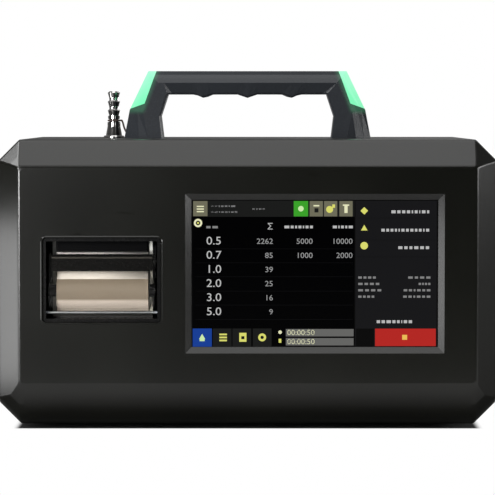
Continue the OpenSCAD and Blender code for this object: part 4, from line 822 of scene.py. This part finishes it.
plainWhite = floorPaper.node("ShaderNodeEmission", None, {"Color": rgb(1, 1, 1), "Strength": 1.0})
mirrorBack = floorPaper.rise("Y", *floorSet["mirrorFrom"])
seen = floorPaper.larger(cameraRays(floorPaper), mirrorRays(floorPaper) * mirrorBack * floorSet["mirrored"])
under = (withinSides(floorPaper, *floorSet["shadeSide"]) * floorPaper.rise("Y", *floorSet["shadeFront"])
         * (1 - floorPaper.rise("Y", *floorSet["shadeRear"])))
ahead = (floorPaper.rise("Y", *floorSet["stripFar"]) * (1 - floorPaper.rise("Y", *floorSet["stripNear"]))
         * withinSides(floorPaper, *floorSet["stripSide"]))
paleShare = floorPaper.larger(seen, ahead * floorSet["stripPale"])
lit = floorPaper.mix(paleShare, floorSet["low"], floorSet["pale"])
floorPaper.feed("Base Color", floorPaper.mix(under, lit, floorSet["shade"]))
floorMix = floorPaper.node("ShaderNodeMixShader", None, {
    0: seen * (1 - under), 1: Signal(floorPaper, floorPaper.shader.outputs[0]), 2: plainWhite})
floorPaper.plug(floorPaper.tree.nodes["Material Output"].inputs["Surface"], floorMix)
bm = bmesh.new()
bmesh.ops.create_grid(bm, x_segments=8, y_segments=8, size=floorSet["half"])
floor = meshPiece("floor", bm, None, floorPaper, smooth=False)

# each side's level and the directions over which it comes in
worldSet = {
    "front": .055, "back": .60, "backIn": (.15, .7), "mirrored": .17,
    "top": .22, "topIn": (.3, .9), "left": .04, "leftIn": (-.3, .9),
}
world = bpy.data.worlds.new("studio")
scene.world = world
world.use_nodes = True
sky = Nodes(world.node_tree)
toward = sky.node("ShaderNodeTexCoord", output="Generated")
towardX, towardY, towardZ = (sky.node("ShaderNodeSeparateXYZ", None, {0: toward}, part) for part in range(3))
behind = sky.band(towardY, *worldSet["backIn"])
above = sky.band(towardZ, *worldSet["topIn"])
leftward = sky.band(towardX * -1, *worldSet["leftIn"])
backLevel = worldSet["back"] + mirrorRays(sky) * (worldSet["mirrored"] - worldSet["back"])
level = (worldSet["front"] + behind * (backLevel - worldSet["front"]) + above * worldSet["top"]
         + leftward * worldSet["left"])
seenSky = cameraRays(sky)
background = world.node_tree.nodes["Background"]
sky.plug(background.inputs["Color"], rgb(1, 1, 1))
sky.plug(background.inputs["Strength"], level * (1 - seenSky) + seenSky)  # white where the camera sees it

lamps = {
    "frontLeft": {"at": (-900, -1520, 320), "aim": (0, -80, 100), "size": (480, 480), "watts": 43},
    "nearCamera": {"at": (-520, -1950, 340), "aim": (0, -105, 130), "size": (420, 420), "watts": 1.25},
    "highLeft": {"at": (-780, -1150, 1250), "aim": (0, -80, 110), "size": (500, 500), "watts": 12},
    "upperLeft": {"at": (-1150, -60, 1250), "aim": (0, 0, 120), "size": (500, 500), "watts": 9},
    "besideLeft": {"at": (-420, -185, 62), "aim": (0, -185, 62), "size": (300, 120), "watts": .72},
    "overhead": {"at": (-60, -240, 1500), "aim": (0, 0, 100), "size": (1000, 1000), "watts": 8},
    "upperRight": {"at": (1380, -290, 400), "aim": (0, -80, 180), "size": (500, 500), "watts": 13},
    "lowRear": {"at": (800, 1200, 95), "aim": (0, 105, 95), "size": (500, 150), "watts": 4},
    "rear": {"at": (400, 1500, 1300), "aim": (0, 0, 120), "size": (1000, 1000), "watts": 3},
}
for name, lamp in lamps.items():
    data = bpy.data.lights.new(name, "AREA")
    data.shape = "RECTANGLE"
    data.size, data.size_y = (side * mm for side in lamp["size"])
    data.energy = lamp["watts"]
    light = bpy.data.objects.new(name, data)
    scene.collection.objects.link(light)
    light.location = mmPoint(*lamp["at"])
    light.rotation_euler = (mmPoint(*lamp["aim"]) - light.location).to_track_quat("-Z", "Y").to_euler()
print("stage lit")
